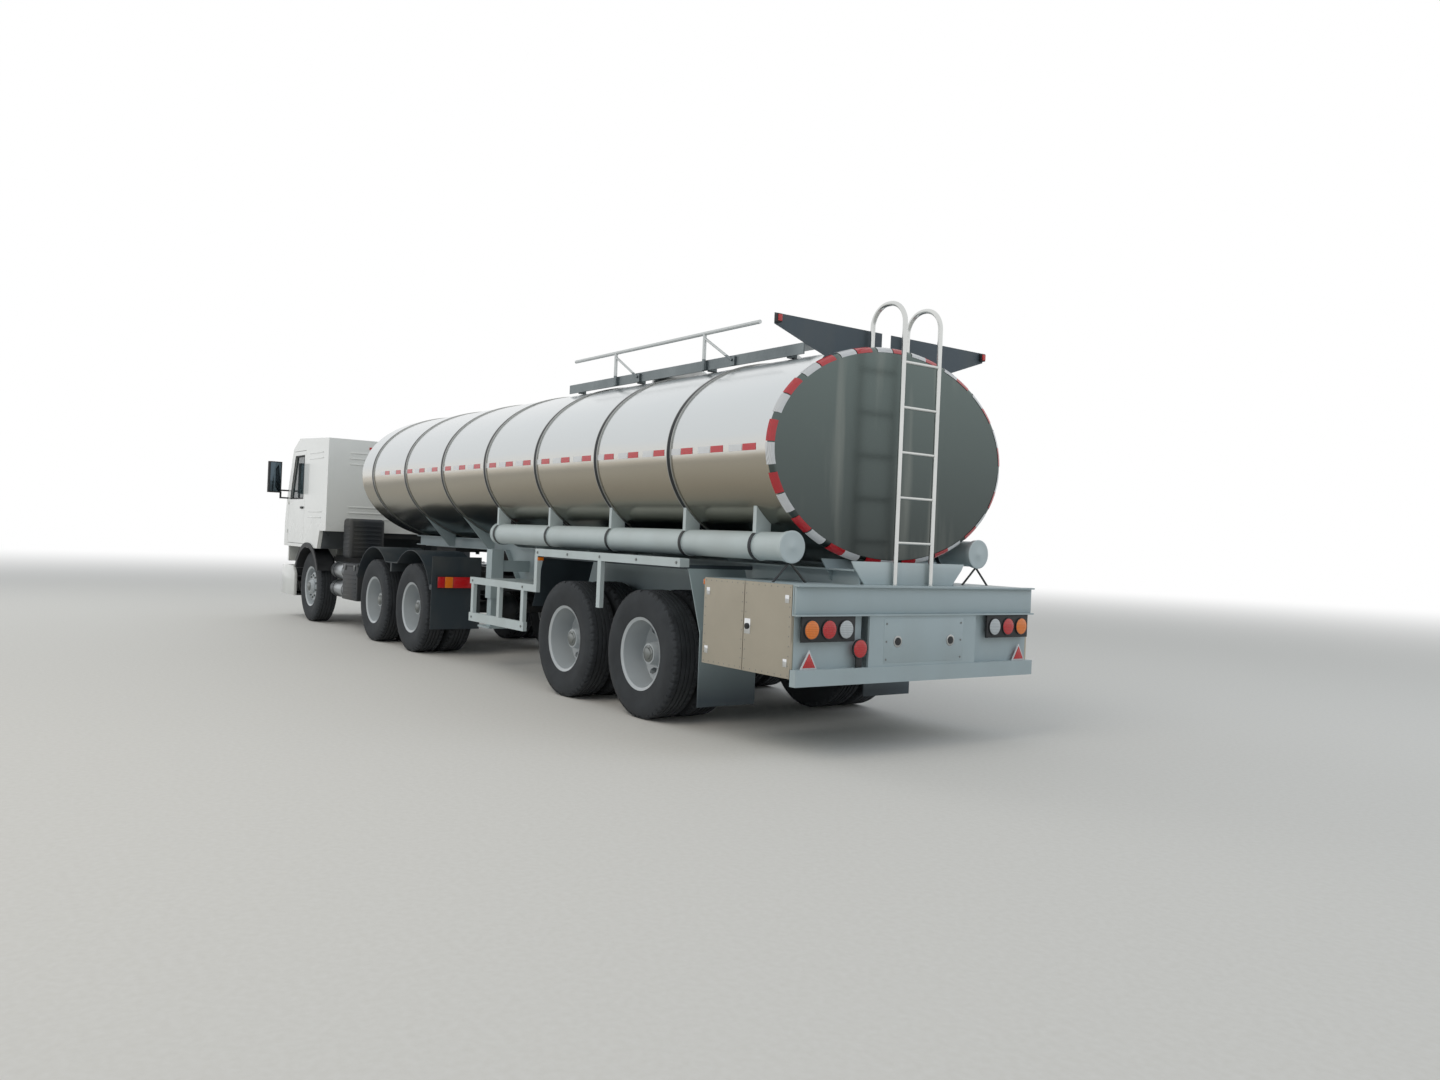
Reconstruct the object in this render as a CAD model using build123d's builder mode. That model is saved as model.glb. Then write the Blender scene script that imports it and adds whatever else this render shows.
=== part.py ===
from build123d import *
import math
import os

# Articulated road tanker: a three-axle tractor with a sleeper cab, and a two-axle semi-trailer
# with an elliptical clad tank. Millimetres. X runs forward, Y to the left and Z up, and the
# origin is on the ground at mid length. Places along the vehicle are given as the distance
# forward of the rear bumper's rear face, and fore() turns such a distance into X.

# Running clearances
SEAT = 0.3            # between a piece and the seat that it lies on
SHAFT_FIT = 0.05      # radial, shaft in hub
PANEL_GAP = 6         # round doors and lids

# Whole vehicle
OVERALL_LENGTH = 13150
HALF_WIDTH = 1250

# Wheels
TYRE_RADIUS = 535
TYRE_SECTION = 290
TYRE_TREAD_HALF = 115
BEAD_RADIUS = 290
BEAD_HALF = 110
RIM_FLANGE_RADIUS = 305
RIM_WALL = 14
TWIN_SPACING = 330
TWIN_CENTRE = 920
SPINDLE_RADIUS = 45
HUB_RADIUS = 110
DRUM_RADIUS = 205
HAND_HOLES = 8
HAND_HOLE_RADIUS = 30

# Axles, distance forward of the rear bumper
TRAILER_AXLES = (2046, 3373)
DRIVE_AXLES = (7290, 8640)
FRONT_AXLE = 11740
BOGIE_AT = (DRIVE_AXLES[0] + DRIVE_AXLES[1]) / 2

# Tank
TANK_REAR = 390
TANK_FRONT = 9340
TANK_HALF_WIDTH = 1244
TANK_HALF_HEIGHT = 840
TANK_CENTRE_Z = 2200
TANK_WALL = 8
REAR_KNUCKLE = 45
FRONT_KNUCKLE = 150
BAND_FIRST = 1677
BAND_PITCH = 1180
BAND_COUNT = 7
BAND_WIDTH = 60
BAND_THICKNESS = 10

# Top of the tank
MANHOLE_AT = 3447
MANHOLE_RADIUS = 270
MANHOLE_WALL = 12
MANHOLE_RIM_Z = 3120
LID_THICKNESS = 30
WALK_REAR = 950
WALK_FRONT = 4800
WALK_INNER = 300
WALK_OUTER = 500
WALK_TOP = 3090
WALK_EDGE = 90
RAIL_TUBE = 17
RAIL_Z = 3325
SPLASH_AT = 540
SPLASH_THICKNESS = 6
SPLASH_TOP = 3170
SPLASH_HALF_WIDTH = 1127

# Ladder
LADDER_AT = 155
LADDER_HALF = 190
LADDER_TUBE = 19
LADDER_TOP = 3350
LADDER_FRONT = 500
LADDER_BEND = 165
RUNG_TUBE = 12
RUNG_FIRST = 1540
RUNG_PITCH = 338
RUNG_COUNT = 5

# Trailer chassis
CHASSIS_Y = 500
FLANGE_WIDTH = 120
PLATE = 12
CHASSIS_BOTTOM = 930
CHASSIS_TOP = 1330
NECK_STEP_REAR = 5750
NECK_STEP_FRONT = 6100
NECK_FRONT = 8900
COUPLER_Z = 1265
COUPLER_HALF_WIDTH = 450
KINGPIN_AT = 8150
KINGPIN_RADIUS = 25.4
KINGPIN_LENGTH = 84

# Rear end
BEAM_BOTTOM = 1008
BEAM_TOP = 1223
BEAM_DEPTH = 60
BEAM_CROSS_DEPTH = 200
BUMPER_BOTTOM = 525
BUMPER_TOP = 640
BUMPER_DEPTH = 60

# Cabinets
CABINET_REAR = 60.3
CABINET_FRONT = 1100
CABINET_BOTTOM = 575
CABINET_TOP = 1220
CABINET_INNER = 600
CABINET_WALL = 20
CABINET_SPLIT = 600
CABINET_DOOR = 25

# Tubes for hoses beside the tank
TUBE_Y = 1000
TUBE_Z = 1477
TUBE_RADIUS = 105
TUBE_WALL = 5
TUBE_REAR = 390
TUBE_FRONT = 5300

# Tractor
FRAME_REAR = 6650
FRAME_FRONT = 12890
FRAME_OUTER = 430
FRAME_FLANGE = 80
FRAME_BOTTOM = 720
FRAME_TOP = 1000
FRAME_WEB = 9
FENDER_RADIUS = 690
FENDER_PLATE = 8
FENDER_INNER = 630
FENDER_OUTER = 1240
STEER_PIN_Y = 880
STEER_PIN_RADIUS = 25
FRONT_TYRE_Y = 1020

# Cab
CAB_REAR = 10850
CAB_FRONT = 13080
CAB_HALF_WIDTH = 1220
CAB_WALL = 50
CAB_FLOOR = 1130
CAB_REAR_FLOOR = 1400
CAB_ROOF_REAR = 2780
CAB_ROOF_FRONT = 2840
CAB_PIVOT_AT = 12980
CAB_PIVOT_Z = 930
CAB_APRON = 880
DOOR_REAR = 12000
DOOR_FRONT = 12900
DOOR_BOTTOM = 1180
DOOR_TOP = 2640
WAIST = 1880
DOOR_HINGE_ZS = (1340, 1800)
DOOR_BARREL = 12
DOOR_BARREL_HEIGHT = 25
FRONT_BUMPER_TOP = 820
FRONT_BUMPER_BOTTOM = 350

SIDES = (("left", 1), ("right", -1))
os.makedirs("parts", exist_ok=True)


def fore(distance):
    """X of a place given as its distance forward of the rear bumper's rear face."""
    return distance - OVERALL_LENGTH / 2


def block(rear, front, y_low, y_high, z_low, z_high, mode=Mode.ADD):
    """A straight block between two distances from the rear."""
    middle = (fore((rear + front) / 2), (y_low + y_high) / 2, (z_low + z_high) / 2)
    with Locations(middle):
        Box(front - rear, abs(y_high - y_low), z_high - z_low, mode=mode)


def side_plate(points, y_low, y_high, mode=Mode.ADD):
    """A plate whose outline, as (distance, z), lies in the side view."""
    plane = Plane(origin=(0, max(y_low, y_high), 0), x_dir=(1, 0, 0), z_dir=(0, -1, 0))
    with BuildSketch(plane) as outline:
        with BuildLine():
            Polyline(*[(fore(distance), z) for distance, z in points], close=True)
        make_face()
    extrude(outline.sketch, amount=abs(y_high - y_low), mode=mode)


def cross_plane(distance):
    """The plane across the vehicle at a distance from the rear, looking forward."""
    return Plane(origin=(fore(distance), 0, 0), x_dir=(0, 1, 0), z_dir=(1, 0, 0))


def cross_plate(points, rear, front, mode=Mode.ADD):
    """A plate whose outline, as (y, z), lies across the vehicle."""
    with BuildSketch(cross_plane(rear)) as outline:
        with BuildLine():
            Polyline(*points, close=True)
        make_face()
    extrude(outline.sketch, amount=front - rear, mode=mode)


def rod(start, end, radius, mode=Mode.ADD):
    """A round bar between two points given as (distance, y, z)."""
    low = Vector(fore(start[0]), start[1], start[2])
    high = Vector(fore(end[0]), end[1], end[2])
    run = high - low
    with Locations(Plane(origin=low, z_dir=run.normalized())):
        Cylinder(radius, run.length, align=(Align.CENTER, Align.CENTER, Align.MIN), mode=mode)


def tank_oval(rear, front, grow, mode=Mode.ADD):
    """The tank's oval section, grown all round, between two distances."""
    with BuildSketch(cross_plane(rear)) as oval:
        with Locations((0, TANK_CENTRE_Z)):
            Ellipse(TANK_HALF_WIDTH + grow, TANK_HALF_HEIGHT + grow)
    extrude(oval.sketch, amount=front - rear, mode=mode)


def tank_surface(y):
    """Height of the tank's lower and upper surface at a distance from the middle plane."""
    rise = TANK_HALF_HEIGHT * math.sqrt(1 - (y / TANK_HALF_WIDTH) ** 2)
    return TANK_CENTRE_Z - rise, TANK_CENTRE_Z + rise


def cut_to_tank():
    """Trim a piece to its seat on the barrel, and under the bands to its seat on them."""
    tank_oval(BAND_FIRST - BAND_PITCH / 2, TANK_FRONT, BAND_THICKNESS + 2 * SEAT, Mode.SUBTRACT)
    tank_oval(TANK_REAR, TANK_FRONT, SEAT, Mode.SUBTRACT)


def save(part, name):
    part.label = name
    export_step(part, f"parts/{name}.step")


# Tyres: bead, two sidewall slopes and the tread, turned about the axle line.
TYRE_BULGE_RADIUS = 430


def tyre_points(centre):
    return [
        (centre - BEAD_HALF, BEAD_RADIUS),
        (centre + BEAD_HALF, BEAD_RADIUS),
        (centre + TYRE_SECTION / 2, TYRE_BULGE_RADIUS),
        (centre + TYRE_TREAD_HALF, TYRE_RADIUS),
        (centre - TYRE_TREAD_HALF, TYRE_RADIUS),
        (centre - TYRE_SECTION / 2, TYRE_BULGE_RADIUS),
    ]


# Twin rims: one outline of (y, radius) from the outer flange, over the bead seats, back along the
# inside of the inner rim, round the brake drum and the hub's bore, and out over the deep dish.
BEAD_SEAT = BEAD_RADIUS - SEAT
RIM_INSIDE = BEAD_SEAT - RIM_WALL
OUTER_TYRE_Y = TWIN_CENTRE + TWIN_SPACING / 2
INNER_TYRE_Y = TWIN_CENTRE - TWIN_SPACING / 2
SIDEWALL_SLOPE = (TYRE_SECTION / 2 - BEAD_HALF) / (TYRE_BULGE_RADIUS - BEAD_RADIUS)
FLANGE_HALF = BEAD_HALF + (RIM_FLANGE_RADIUS - BEAD_RADIUS) * SIDEWALL_SLOPE + SEAT
OUTER_FLANGE_Y = OUTER_TYRE_Y + FLANGE_HALF
INNER_FLANGE_Y = INNER_TYRE_Y - FLANGE_HALF
DISC_HALF = 12
DISH_RADIUS = 200
HUB_END_Y = OUTER_TYRE_Y + 40
HUB_BORE_END = HUB_END_Y - 35
DRUM_INNER_Y = 690
HUB_BORE = SPINDLE_RADIUS + SHAFT_FIT
TWIN_RIM = [
    (OUTER_FLANGE_Y + PLATE, RIM_FLANGE_RADIUS),
    (OUTER_FLANGE_Y, RIM_FLANGE_RADIUS),
    (OUTER_FLANGE_Y, BEAD_SEAT),
    (INNER_FLANGE_Y, BEAD_SEAT),
    (INNER_FLANGE_Y, RIM_INSIDE),
    (TWIN_CENTRE - DISC_HALF, RIM_INSIDE),
    (TWIN_CENTRE - DISC_HALF, DRUM_RADIUS),
    (DRUM_INNER_Y, DRUM_RADIUS),
    (DRUM_INNER_Y, HUB_BORE),
    (HUB_BORE_END, HUB_BORE),
    (HUB_BORE_END, 0),
    (HUB_END_Y, 0),
    (HUB_END_Y, HUB_RADIUS - 25),
    (OUTER_TYRE_Y - 60, HUB_RADIUS),
    (TWIN_CENTRE + DISC_HALF, HUB_RADIUS),
    (TWIN_CENTRE + DISC_HALF, DISH_RADIUS),
    (TWIN_CENTRE + 65, RIM_INSIDE),
    (OUTER_FLANGE_Y, RIM_INSIDE + 4),
]

# Steered rims: the disc lies near the outer face, and the drum stands inside the rim.
STEER_FLANGE_OUT = FRONT_TYRE_Y + FLANGE_HALF
STEER_FLANGE_IN = FRONT_TYRE_Y - FLANGE_HALF
STEER_DISC_Y = FRONT_TYRE_Y + 35
STEER_HUB_END = FRONT_TYRE_Y + 145
STEER_BORE_END = STEER_HUB_END - 35
STEER_DRUM_IN = STEER_PIN_Y + 90
STEER_RIM = [
    (STEER_FLANGE_OUT + PLATE, RIM_FLANGE_RADIUS),
    (STEER_FLANGE_OUT, RIM_FLANGE_RADIUS),
    (STEER_FLANGE_OUT, BEAD_SEAT),
    (STEER_FLANGE_IN, BEAD_SEAT),
    (STEER_FLANGE_IN, RIM_INSIDE),
    (STEER_DISC_Y - PLATE, RIM_INSIDE),
    (STEER_DISC_Y - PLATE, DRUM_RADIUS),
    (STEER_DRUM_IN, DRUM_RADIUS),
    (STEER_DRUM_IN, HUB_BORE),
    (STEER_BORE_END, HUB_BORE),
    (STEER_BORE_END, 0),
    (STEER_HUB_END, 0),
    (STEER_HUB_END, HUB_RADIUS - 25),
    (STEER_HUB_END - 40, HUB_RADIUS),
    (STEER_DISC_Y + 50, HUB_RADIUS),
    (STEER_DISC_Y + 50, DISH_RADIUS),
    (STEER_DISC_Y, RIM_INSIDE),
    (STEER_FLANGE_OUT, RIM_INSIDE + 4),
]

# Wheel bodies: name, distance of the axle, rim outline, tyre centres, y of the disc's hand holes
WHEELS = [
    ("trailer_rear", TRAILER_AXLES[0], TWIN_RIM, (INNER_TYRE_Y, OUTER_TYRE_Y), TWIN_CENTRE),
    ("trailer_front", TRAILER_AXLES[1], TWIN_RIM, (INNER_TYRE_Y, OUTER_TYRE_Y), TWIN_CENTRE),
    ("drive_rear", DRIVE_AXLES[0], TWIN_RIM, (INNER_TYRE_Y, OUTER_TYRE_Y), TWIN_CENTRE),
    ("drive_front", DRIVE_AXLES[1], TWIN_RIM, (INNER_TYRE_Y, OUTER_TYRE_Y), TWIN_CENTRE),
    ("steer", FRONT_AXLE, STEER_RIM, (FRONT_TYRE_Y,), STEER_DISC_Y),
]
HAND_HOLE_CIRCLE = (DRUM_RADIUS + RIM_INSIDE) / 2
for wheel_name, axle_at, rim_points, tyre_centres, disc_y in WHEELS:
    for side_name, side in SIDES:
        axle_line = Axis((fore(axle_at), 0, TYRE_RADIUS), (0, 1, 0))
        wheel_plane = Plane(origin=(fore(axle_at), 0, TYRE_RADIUS), x_dir=(0, side, 0), z_dir=(side, 0, 0))
        with BuildPart() as tyre:
            for centre in tyre_centres:
                with BuildSketch(wheel_plane) as tyre_section:
                    with BuildLine():
                        Polyline(*tyre_points(centre), close=True)
                    make_face()
                revolve(axis=axle_line)
        save(tyre.part, f"tyre_{wheel_name}_{side_name}")
        with BuildPart() as rim:
            with BuildSketch(wheel_plane) as rim_section:
                with BuildLine():
                    Polyline(*rim_points, close=True)
                make_face()
            revolve(axis=axle_line)
            hole_plane = Plane(
                origin=(fore(axle_at), side * (disc_y - 60), TYRE_RADIUS), x_dir=(1, 0, 0), z_dir=(0, side, 0)
            )
            with BuildSketch(hole_plane):
                with PolarLocations(HAND_HOLE_CIRCLE, HAND_HOLES):
                    RegularPolygon(HAND_HOLE_RADIUS, 6)
            extrude(amount=150, mode=Mode.SUBTRACT)
        save(rim.part, f"rim_{wheel_name}_{side_name}")

# Tank: a clad oval barrel with a rounded edge at each end, hollow and closed.
with BuildPart() as tank_inside:
    tank_oval(TANK_REAR + TANK_WALL, TANK_FRONT - TANK_WALL, -TANK_WALL)
    fillet(tank_inside.edges().sort_by(Axis.X)[:1], radius=REAR_KNUCKLE - TANK_WALL)
    fillet(tank_inside.edges().sort_by(Axis.X)[-1:], radius=FRONT_KNUCKLE - TANK_WALL)
with BuildPart() as tank_shell:
    tank_oval(TANK_REAR, TANK_FRONT, 0)
    fillet(tank_shell.edges().sort_by(Axis.X)[:1], radius=REAR_KNUCKLE)
    fillet(tank_shell.edges().sort_by(Axis.X)[-1:], radius=FRONT_KNUCKLE)
    add(tank_inside.part, mode=Mode.SUBTRACT)
save(tank_shell.part, "tank_shell")

with BuildPart() as tank_bands:
    for index in range(BAND_COUNT):
        band_at = BAND_FIRST + index * BAND_PITCH
        tank_oval(band_at - BAND_WIDTH / 2, band_at + BAND_WIDTH / 2, BAND_THICKNESS + SEAT)
    tank_oval(TANK_REAR, TANK_FRONT, SEAT, Mode.SUBTRACT)
save(tank_bands.part, "tank_bands")

# Manhole neck on the crown, and the drain pipe with its flange under the tank's right side.
DRAIN_AT = 4650
DRAIN_Y = -300
DRAIN_BORE = 40
DRAIN_PIPE = 45
DRAIN_FLANGE_RADIUS = 100
DRAIN_FLANGE = 20
DRAIN_BOLT_CIRCLE = 80
DRAIN_BOLT_HOLE = 9
DRAIN_BOLTS = 8
DRAIN_END_Y = -1100
DRAIN_Z = 860
DRAIN_BORE_LENGTH = 100
with BuildPart() as tank_fittings:
    rod((MANHOLE_AT, 0, TANK_CENTRE_Z), (MANHOLE_AT, 0, MANHOLE_RIM_Z), MANHOLE_RADIUS)
    rod(
        (MANHOLE_AT, 0, TANK_CENTRE_Z),
        (MANHOLE_AT, 0, MANHOLE_RIM_Z),
        MANHOLE_RADIUS - MANHOLE_WALL,
        Mode.SUBTRACT,
    )
    rod((DRAIN_AT, DRAIN_Y, DRAIN_Z), (DRAIN_AT, DRAIN_END_Y, DRAIN_Z), DRAIN_PIPE)
    rod((DRAIN_AT, DRAIN_END_Y + DRAIN_FLANGE, DRAIN_Z), (DRAIN_AT, DRAIN_END_Y, DRAIN_Z), DRAIN_FLANGE_RADIUS)
    rod((DRAIN_AT, DRAIN_Y, DRAIN_Z - DRAIN_PIPE), (DRAIN_AT, DRAIN_Y, TANK_CENTRE_Z), DRAIN_PIPE)
    tank_oval(TANK_REAR, TANK_FRONT, SEAT, Mode.SUBTRACT)
    rod(
        (DRAIN_AT, DRAIN_END_Y + DRAIN_BORE_LENGTH, DRAIN_Z),
        (DRAIN_AT, DRAIN_END_Y, DRAIN_Z),
        DRAIN_BORE,
        Mode.SUBTRACT,
    )
    drain_face = Plane(origin=(fore(DRAIN_AT), DRAIN_END_Y, DRAIN_Z), x_dir=(1, 0, 0), z_dir=(0, 1, 0))
    with BuildSketch(drain_face):
        with PolarLocations(DRAIN_BOLT_CIRCLE, DRAIN_BOLTS):
            Circle(DRAIN_BOLT_HOLE)
    extrude(amount=DRAIN_FLANGE, mode=Mode.SUBTRACT)
save(tank_fittings.part, "tank_fittings")

with BuildPart() as manhole_lid:
    lid_low = MANHOLE_RIM_Z + SEAT
    rod((MANHOLE_AT, 0, lid_low), (MANHOLE_AT, 0, lid_low + LID_THICKNESS), MANHOLE_RADIUS)
    fillet(manhole_lid.edges().group_by(Axis.Z)[-1], radius=10)
save(manhole_lid.part, "manhole_lid")

# Walkway strips each side of the manhole, on feet, with a handrail outside each.
WALK_FEET = (1150, 2250, 3430, 4610)
RAIL_POSTS = (2290, 3820)
RAIL_ENDS = (1500, 4650)
RAIL_STRUT = 420
RAIL_Y = WALK_OUTER + RAIL_TUBE
RAIL_SHOE_HALF = 30
WALK_PLATE = 20
FOOT_Y = 450
FOOT_HALF = 30
with BuildPart() as walkway:
    for side_name, side in SIDES:
        strip = sorted((side * WALK_INNER, side * WALK_OUTER))
        edge = sorted((side * (WALK_OUTER - PLATE), side * WALK_OUTER))
        block(WALK_REAR, WALK_FRONT, strip[0], strip[1], WALK_TOP - WALK_PLATE, WALK_TOP)
        block(WALK_REAR, WALK_FRONT, edge[0], edge[1], WALK_TOP - WALK_EDGE, WALK_TOP)
        foot_low = tank_surface(FOOT_Y - FOOT_HALF)[1] + SEAT
        for foot_at in WALK_FEET:
            foot = sorted((side * (FOOT_Y - FOOT_HALF), side * (FOOT_Y + FOOT_HALF)))
            block(foot_at - 30, foot_at + 30, foot[0], foot[1], foot_low, WALK_TOP - WALK_PLATE)
        rail_y = side * RAIL_Y
        rod((RAIL_ENDS[0], rail_y, RAIL_Z), (RAIL_ENDS[1], rail_y, RAIL_Z), RAIL_TUBE)
        for post_at in RAIL_POSTS:
            strut_at = post_at - RAIL_STRUT
            rod((post_at, rail_y, WALK_TOP - WALK_EDGE), (post_at, rail_y, RAIL_Z), RAIL_TUBE)
            rod((strut_at, rail_y, WALK_TOP - WALK_EDGE / 2), (post_at, rail_y, RAIL_Z - 40), RAIL_TUBE * 0.7)
            shoe = sorted((side * WALK_OUTER, rail_y))
            for shoe_at in (strut_at, post_at):
                block(
                    shoe_at - RAIL_SHOE_HALF,
                    shoe_at + RAIL_SHOE_HALF,
                    shoe[0],
                    shoe[1],
                    WALK_TOP - WALK_EDGE,
                    WALK_TOP - PLATE,
                )
save(walkway.part, "walkway")

# Splash plate: two halves that stand on the crown and reach out past the tank's shoulders.
SPLASH_GAP = 50
with BuildPart() as splash_plate:
    for side_name, side in SIDES:
        half = [
            (side * SPLASH_GAP, SPLASH_TOP),
            (side * SPLASH_HALF_WIDTH, SPLASH_TOP),
            (side * SPLASH_HALF_WIDTH, SPLASH_TOP - 80),
            (side * 750, SPLASH_TOP - 210),
            (side * 600, SPLASH_TOP - 260),
            (side * SPLASH_GAP, SPLASH_TOP - 260),
        ]
        cross_plate(half, SPLASH_AT, SPLASH_AT + SPLASH_THICKNESS)
    tank_oval(TANK_REAR, TANK_FRONT, SEAT, Mode.SUBTRACT)
save(splash_plate.part, "splash_plate")

# Ladder: two tubes that rise from the rear cross member, loop forward over the top and come
# down on the crown, with rungs between them.
with BuildPart() as rear_ladder:
    for side_name, side in SIDES:
        foot_z = tank_surface(LADDER_HALF - LADDER_TUBE)[1] + SEAT
        ladder_y = side * LADDER_HALF
        with BuildLine() as ladder_route:
            FilletPolyline(
                (fore(LADDER_AT), ladder_y, BEAM_TOP + SEAT),
                (fore(LADDER_AT), ladder_y, LADDER_TOP),
                (fore(LADDER_FRONT), ladder_y, LADDER_TOP),
                (fore(LADDER_FRONT), ladder_y, foot_z),
                radius=LADDER_BEND,
            )
        with BuildSketch(Plane.XY.offset(BEAM_TOP + SEAT)) as tube_section:
            with Locations((fore(LADDER_AT), ladder_y)):
                Circle(LADDER_TUBE)
        sweep(tube_section.sketch, path=ladder_route.line)
    for index in range(RUNG_COUNT):
        rung_z = RUNG_FIRST + index * RUNG_PITCH
        rod((LADDER_AT, -LADDER_HALF, rung_z), (LADDER_AT, LADDER_HALF, rung_z), RUNG_TUBE)
save(rear_ladder.part, "rear_ladder")

# Trailer chassis: two I-rails that step up into a shallow neck over the tractor, cross members,
# and saddles cut to the tank's underside.
NECK_TOP = tank_surface(CHASSIS_Y - FLANGE_WIDTH / 2)[0] - BAND_THICKNESS - 2 * SEAT
NECK_BOTTOM = COUPLER_Z + SEAT + PLATE
CHASSIS_REAR = BEAM_CROSS_DEPTH + SEAT
CROSS_MEMBERS = (1300, 2700, 4100, 5300)
# Saddles: distance, half width at the foot, foot height, half width at the shoulder, its height
SADDLES = [
    (500, 500, BEAM_TOP, 620, 1400),
    (1677, 600, CHASSIS_TOP, 850, 1585),
    (2857, 600, CHASSIS_TOP, 850, 1585),
    (4037, 600, CHASSIS_TOP, 850, 1585),
    (5217, 600, CHASSIS_TOP, 850, 1585),
]
# Gussets beside the neck, under the tank's bands
NECK_GUSSETS = (6397, 7577)
GUSSET_REACH = 1060
GUSSET_TOP = 1765
NECK_FLANGE_Z = NECK_BOTTOM + PLATE + SEAT
BETWEEN = CHASSIS_Y - PLATE / 2 - SEAT
WITHIN = CHASSIS_Y - FLANGE_WIDTH / 2 - SEAT
BESIDE = CHASSIS_Y + FLANGE_WIDTH / 2 + SEAT
# Lengths of rail, butted end to end: rear end, its lower and upper z, front end, its lower and upper z
RAIL_LENGTHS = [
    (CHASSIS_REAR, CHASSIS_BOTTOM, CHASSIS_TOP, NECK_STEP_REAR - SEAT, CHASSIS_BOTTOM, CHASSIS_TOP),
    (NECK_STEP_REAR, CHASSIS_BOTTOM, CHASSIS_TOP, NECK_STEP_FRONT - SEAT, NECK_BOTTOM, NECK_TOP),
    (NECK_STEP_FRONT, NECK_BOTTOM, NECK_TOP, NECK_FRONT, NECK_BOTTOM, NECK_TOP),
]
with BuildPart() as trailer_frame:
    for side_name, side in SIDES:
        rail_y = side * CHASSIS_Y
        flange = (rail_y - FLANGE_WIDTH / 2, rail_y + FLANGE_WIDTH / 2)
        for rear, low_rear, high_rear, front, low_front, high_front in RAIL_LENGTHS:
            web = [(rear, low_rear), (front, low_front), (front, high_front), (rear, high_rear)]
            bottom = [(rear, low_rear), (front, low_front), (front, low_front + PLATE), (rear, low_rear + PLATE)]
            top = [(rear, high_rear - PLATE), (front, high_front - PLATE), (front, high_front), (rear, high_rear)]
            side_plate(web, rail_y - PLATE / 2, rail_y + PLATE / 2)
            side_plate(bottom, *flange)
            side_plate(top, *flange)
    for member_at in CROSS_MEMBERS:
        block(member_at - 50, member_at + 50, -BETWEEN, BETWEEN, CHASSIS_BOTTOM + 60, CHASSIS_TOP - 60)
    block(NECK_FRONT - 100, NECK_FRONT, -WITHIN, WITHIN, NECK_FLANGE_Z, NECK_TOP)
    for saddle_at, foot_half, foot_z, shoulder_half, shoulder_z in SADDLES:
        outline = [
            (-foot_half, foot_z + SEAT),
            (foot_half, foot_z + SEAT),
            (shoulder_half, shoulder_z),
            (-shoulder_half, shoulder_z),
        ]
        cross_plate(outline, saddle_at - PLATE / 2, saddle_at + PLATE / 2)
    for gusset_at in NECK_GUSSETS:
        block(gusset_at - PLATE / 2, gusset_at + PLATE / 2, -WITHIN, WITHIN, NECK_FLANGE_Z, NECK_TOP)
        for side_name, side in SIDES:
            gusset = [
                (side * BESIDE, NECK_FLANGE_Z),
                (side * (BESIDE + 80), NECK_FLANGE_Z),
                (side * GUSSET_REACH, GUSSET_TOP),
                (side * BESIDE, GUSSET_TOP),
            ]
            cross_plate(gusset, gusset_at - PLATE / 2, gusset_at + PLATE / 2)
    cut_to_tank()
save(trailer_frame.part, "trailer_frame")

COUPLER_REAR = 7700
COUPLER_FRONT = 8850
with BuildPart() as coupler_plate:
    block(
        COUPLER_REAR, COUPLER_FRONT, -COUPLER_HALF_WIDTH, COUPLER_HALF_WIDTH, COUPLER_Z + SEAT, NECK_BOTTOM
    )
    rod(
        (KINGPIN_AT, 0, COUPLER_Z + SEAT - KINGPIN_LENGTH),
        (KINGPIN_AT, 0, COUPLER_Z + 2 * SEAT),
        KINGPIN_RADIUS,
    )
save(coupler_plate.part, "coupler_plate")

# Rear end: the channel across the top, the bumper bar on two arms, and the panel between them.
PANEL_HALF = 565
PANEL_FACE = 10
PANEL_THICK = 20
ARM_Y = 460
ARM_HALF = 50
with BuildPart() as rear_beam:
    block(0, BEAM_DEPTH, -HALF_WIDTH, HALF_WIDTH, BEAM_TOP - PLATE, BEAM_TOP)
    block(0, BEAM_DEPTH, -HALF_WIDTH, HALF_WIDTH, BEAM_BOTTOM, BEAM_BOTTOM + PLATE)
    block(BEAM_DEPTH - PLATE, BEAM_DEPTH, -HALF_WIDTH, HALF_WIDTH, BEAM_BOTTOM, BEAM_TOP)
    block(BEAM_DEPTH, BEAM_CROSS_DEPTH, -CABINET_INNER + 20, CABINET_INNER - 20, BEAM_TOP - 100, BEAM_TOP)
    block(0, BUMPER_DEPTH, -HALF_WIDTH, HALF_WIDTH, BUMPER_BOTTOM, BUMPER_TOP)
    block(PANEL_FACE, PANEL_FACE + PANEL_THICK, -PANEL_HALF, PANEL_HALF, BUMPER_TOP, BEAM_BOTTOM)
    for side_name, side in SIDES:
        arm = sorted((side * (ARM_Y - ARM_HALF), side * (ARM_Y + ARM_HALF)))
        block(PANEL_FACE + PANEL_THICK, BEAM_CROSS_DEPTH, arm[0], arm[1], BUMPER_BOTTOM, BEAM_TOP - 20)
save(rear_beam.part, "rear_beam")

# Lamp boards hang under the channel; round lamps stand on their faces. Columns: y, radius
BOARD_INNER = 600
BOARD_OUTER = 1110
BOARD_BOTTOM = 810
LAMP_Z = 900
LAMP_RADIUS = 57
LAMP_YS = (790, 950, 1110)
with BuildPart() as tail_lamps:
    for side_name, side in SIDES:
        board = sorted((side * BOARD_INNER, side * (BOARD_OUTER + 60)))
        block(PANEL_FACE, PANEL_FACE + PANEL_THICK, board[0], board[1], BOARD_BOTTOM, BEAM_BOTTOM - SEAT)
        for lamp_y in LAMP_YS:
            rod((PANEL_FACE - 8, side * lamp_y, LAMP_Z), (PANEL_FACE, side * lamp_y, LAMP_Z), LAMP_RADIUS)
save(tail_lamps.part, "tail_lamps")

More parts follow.
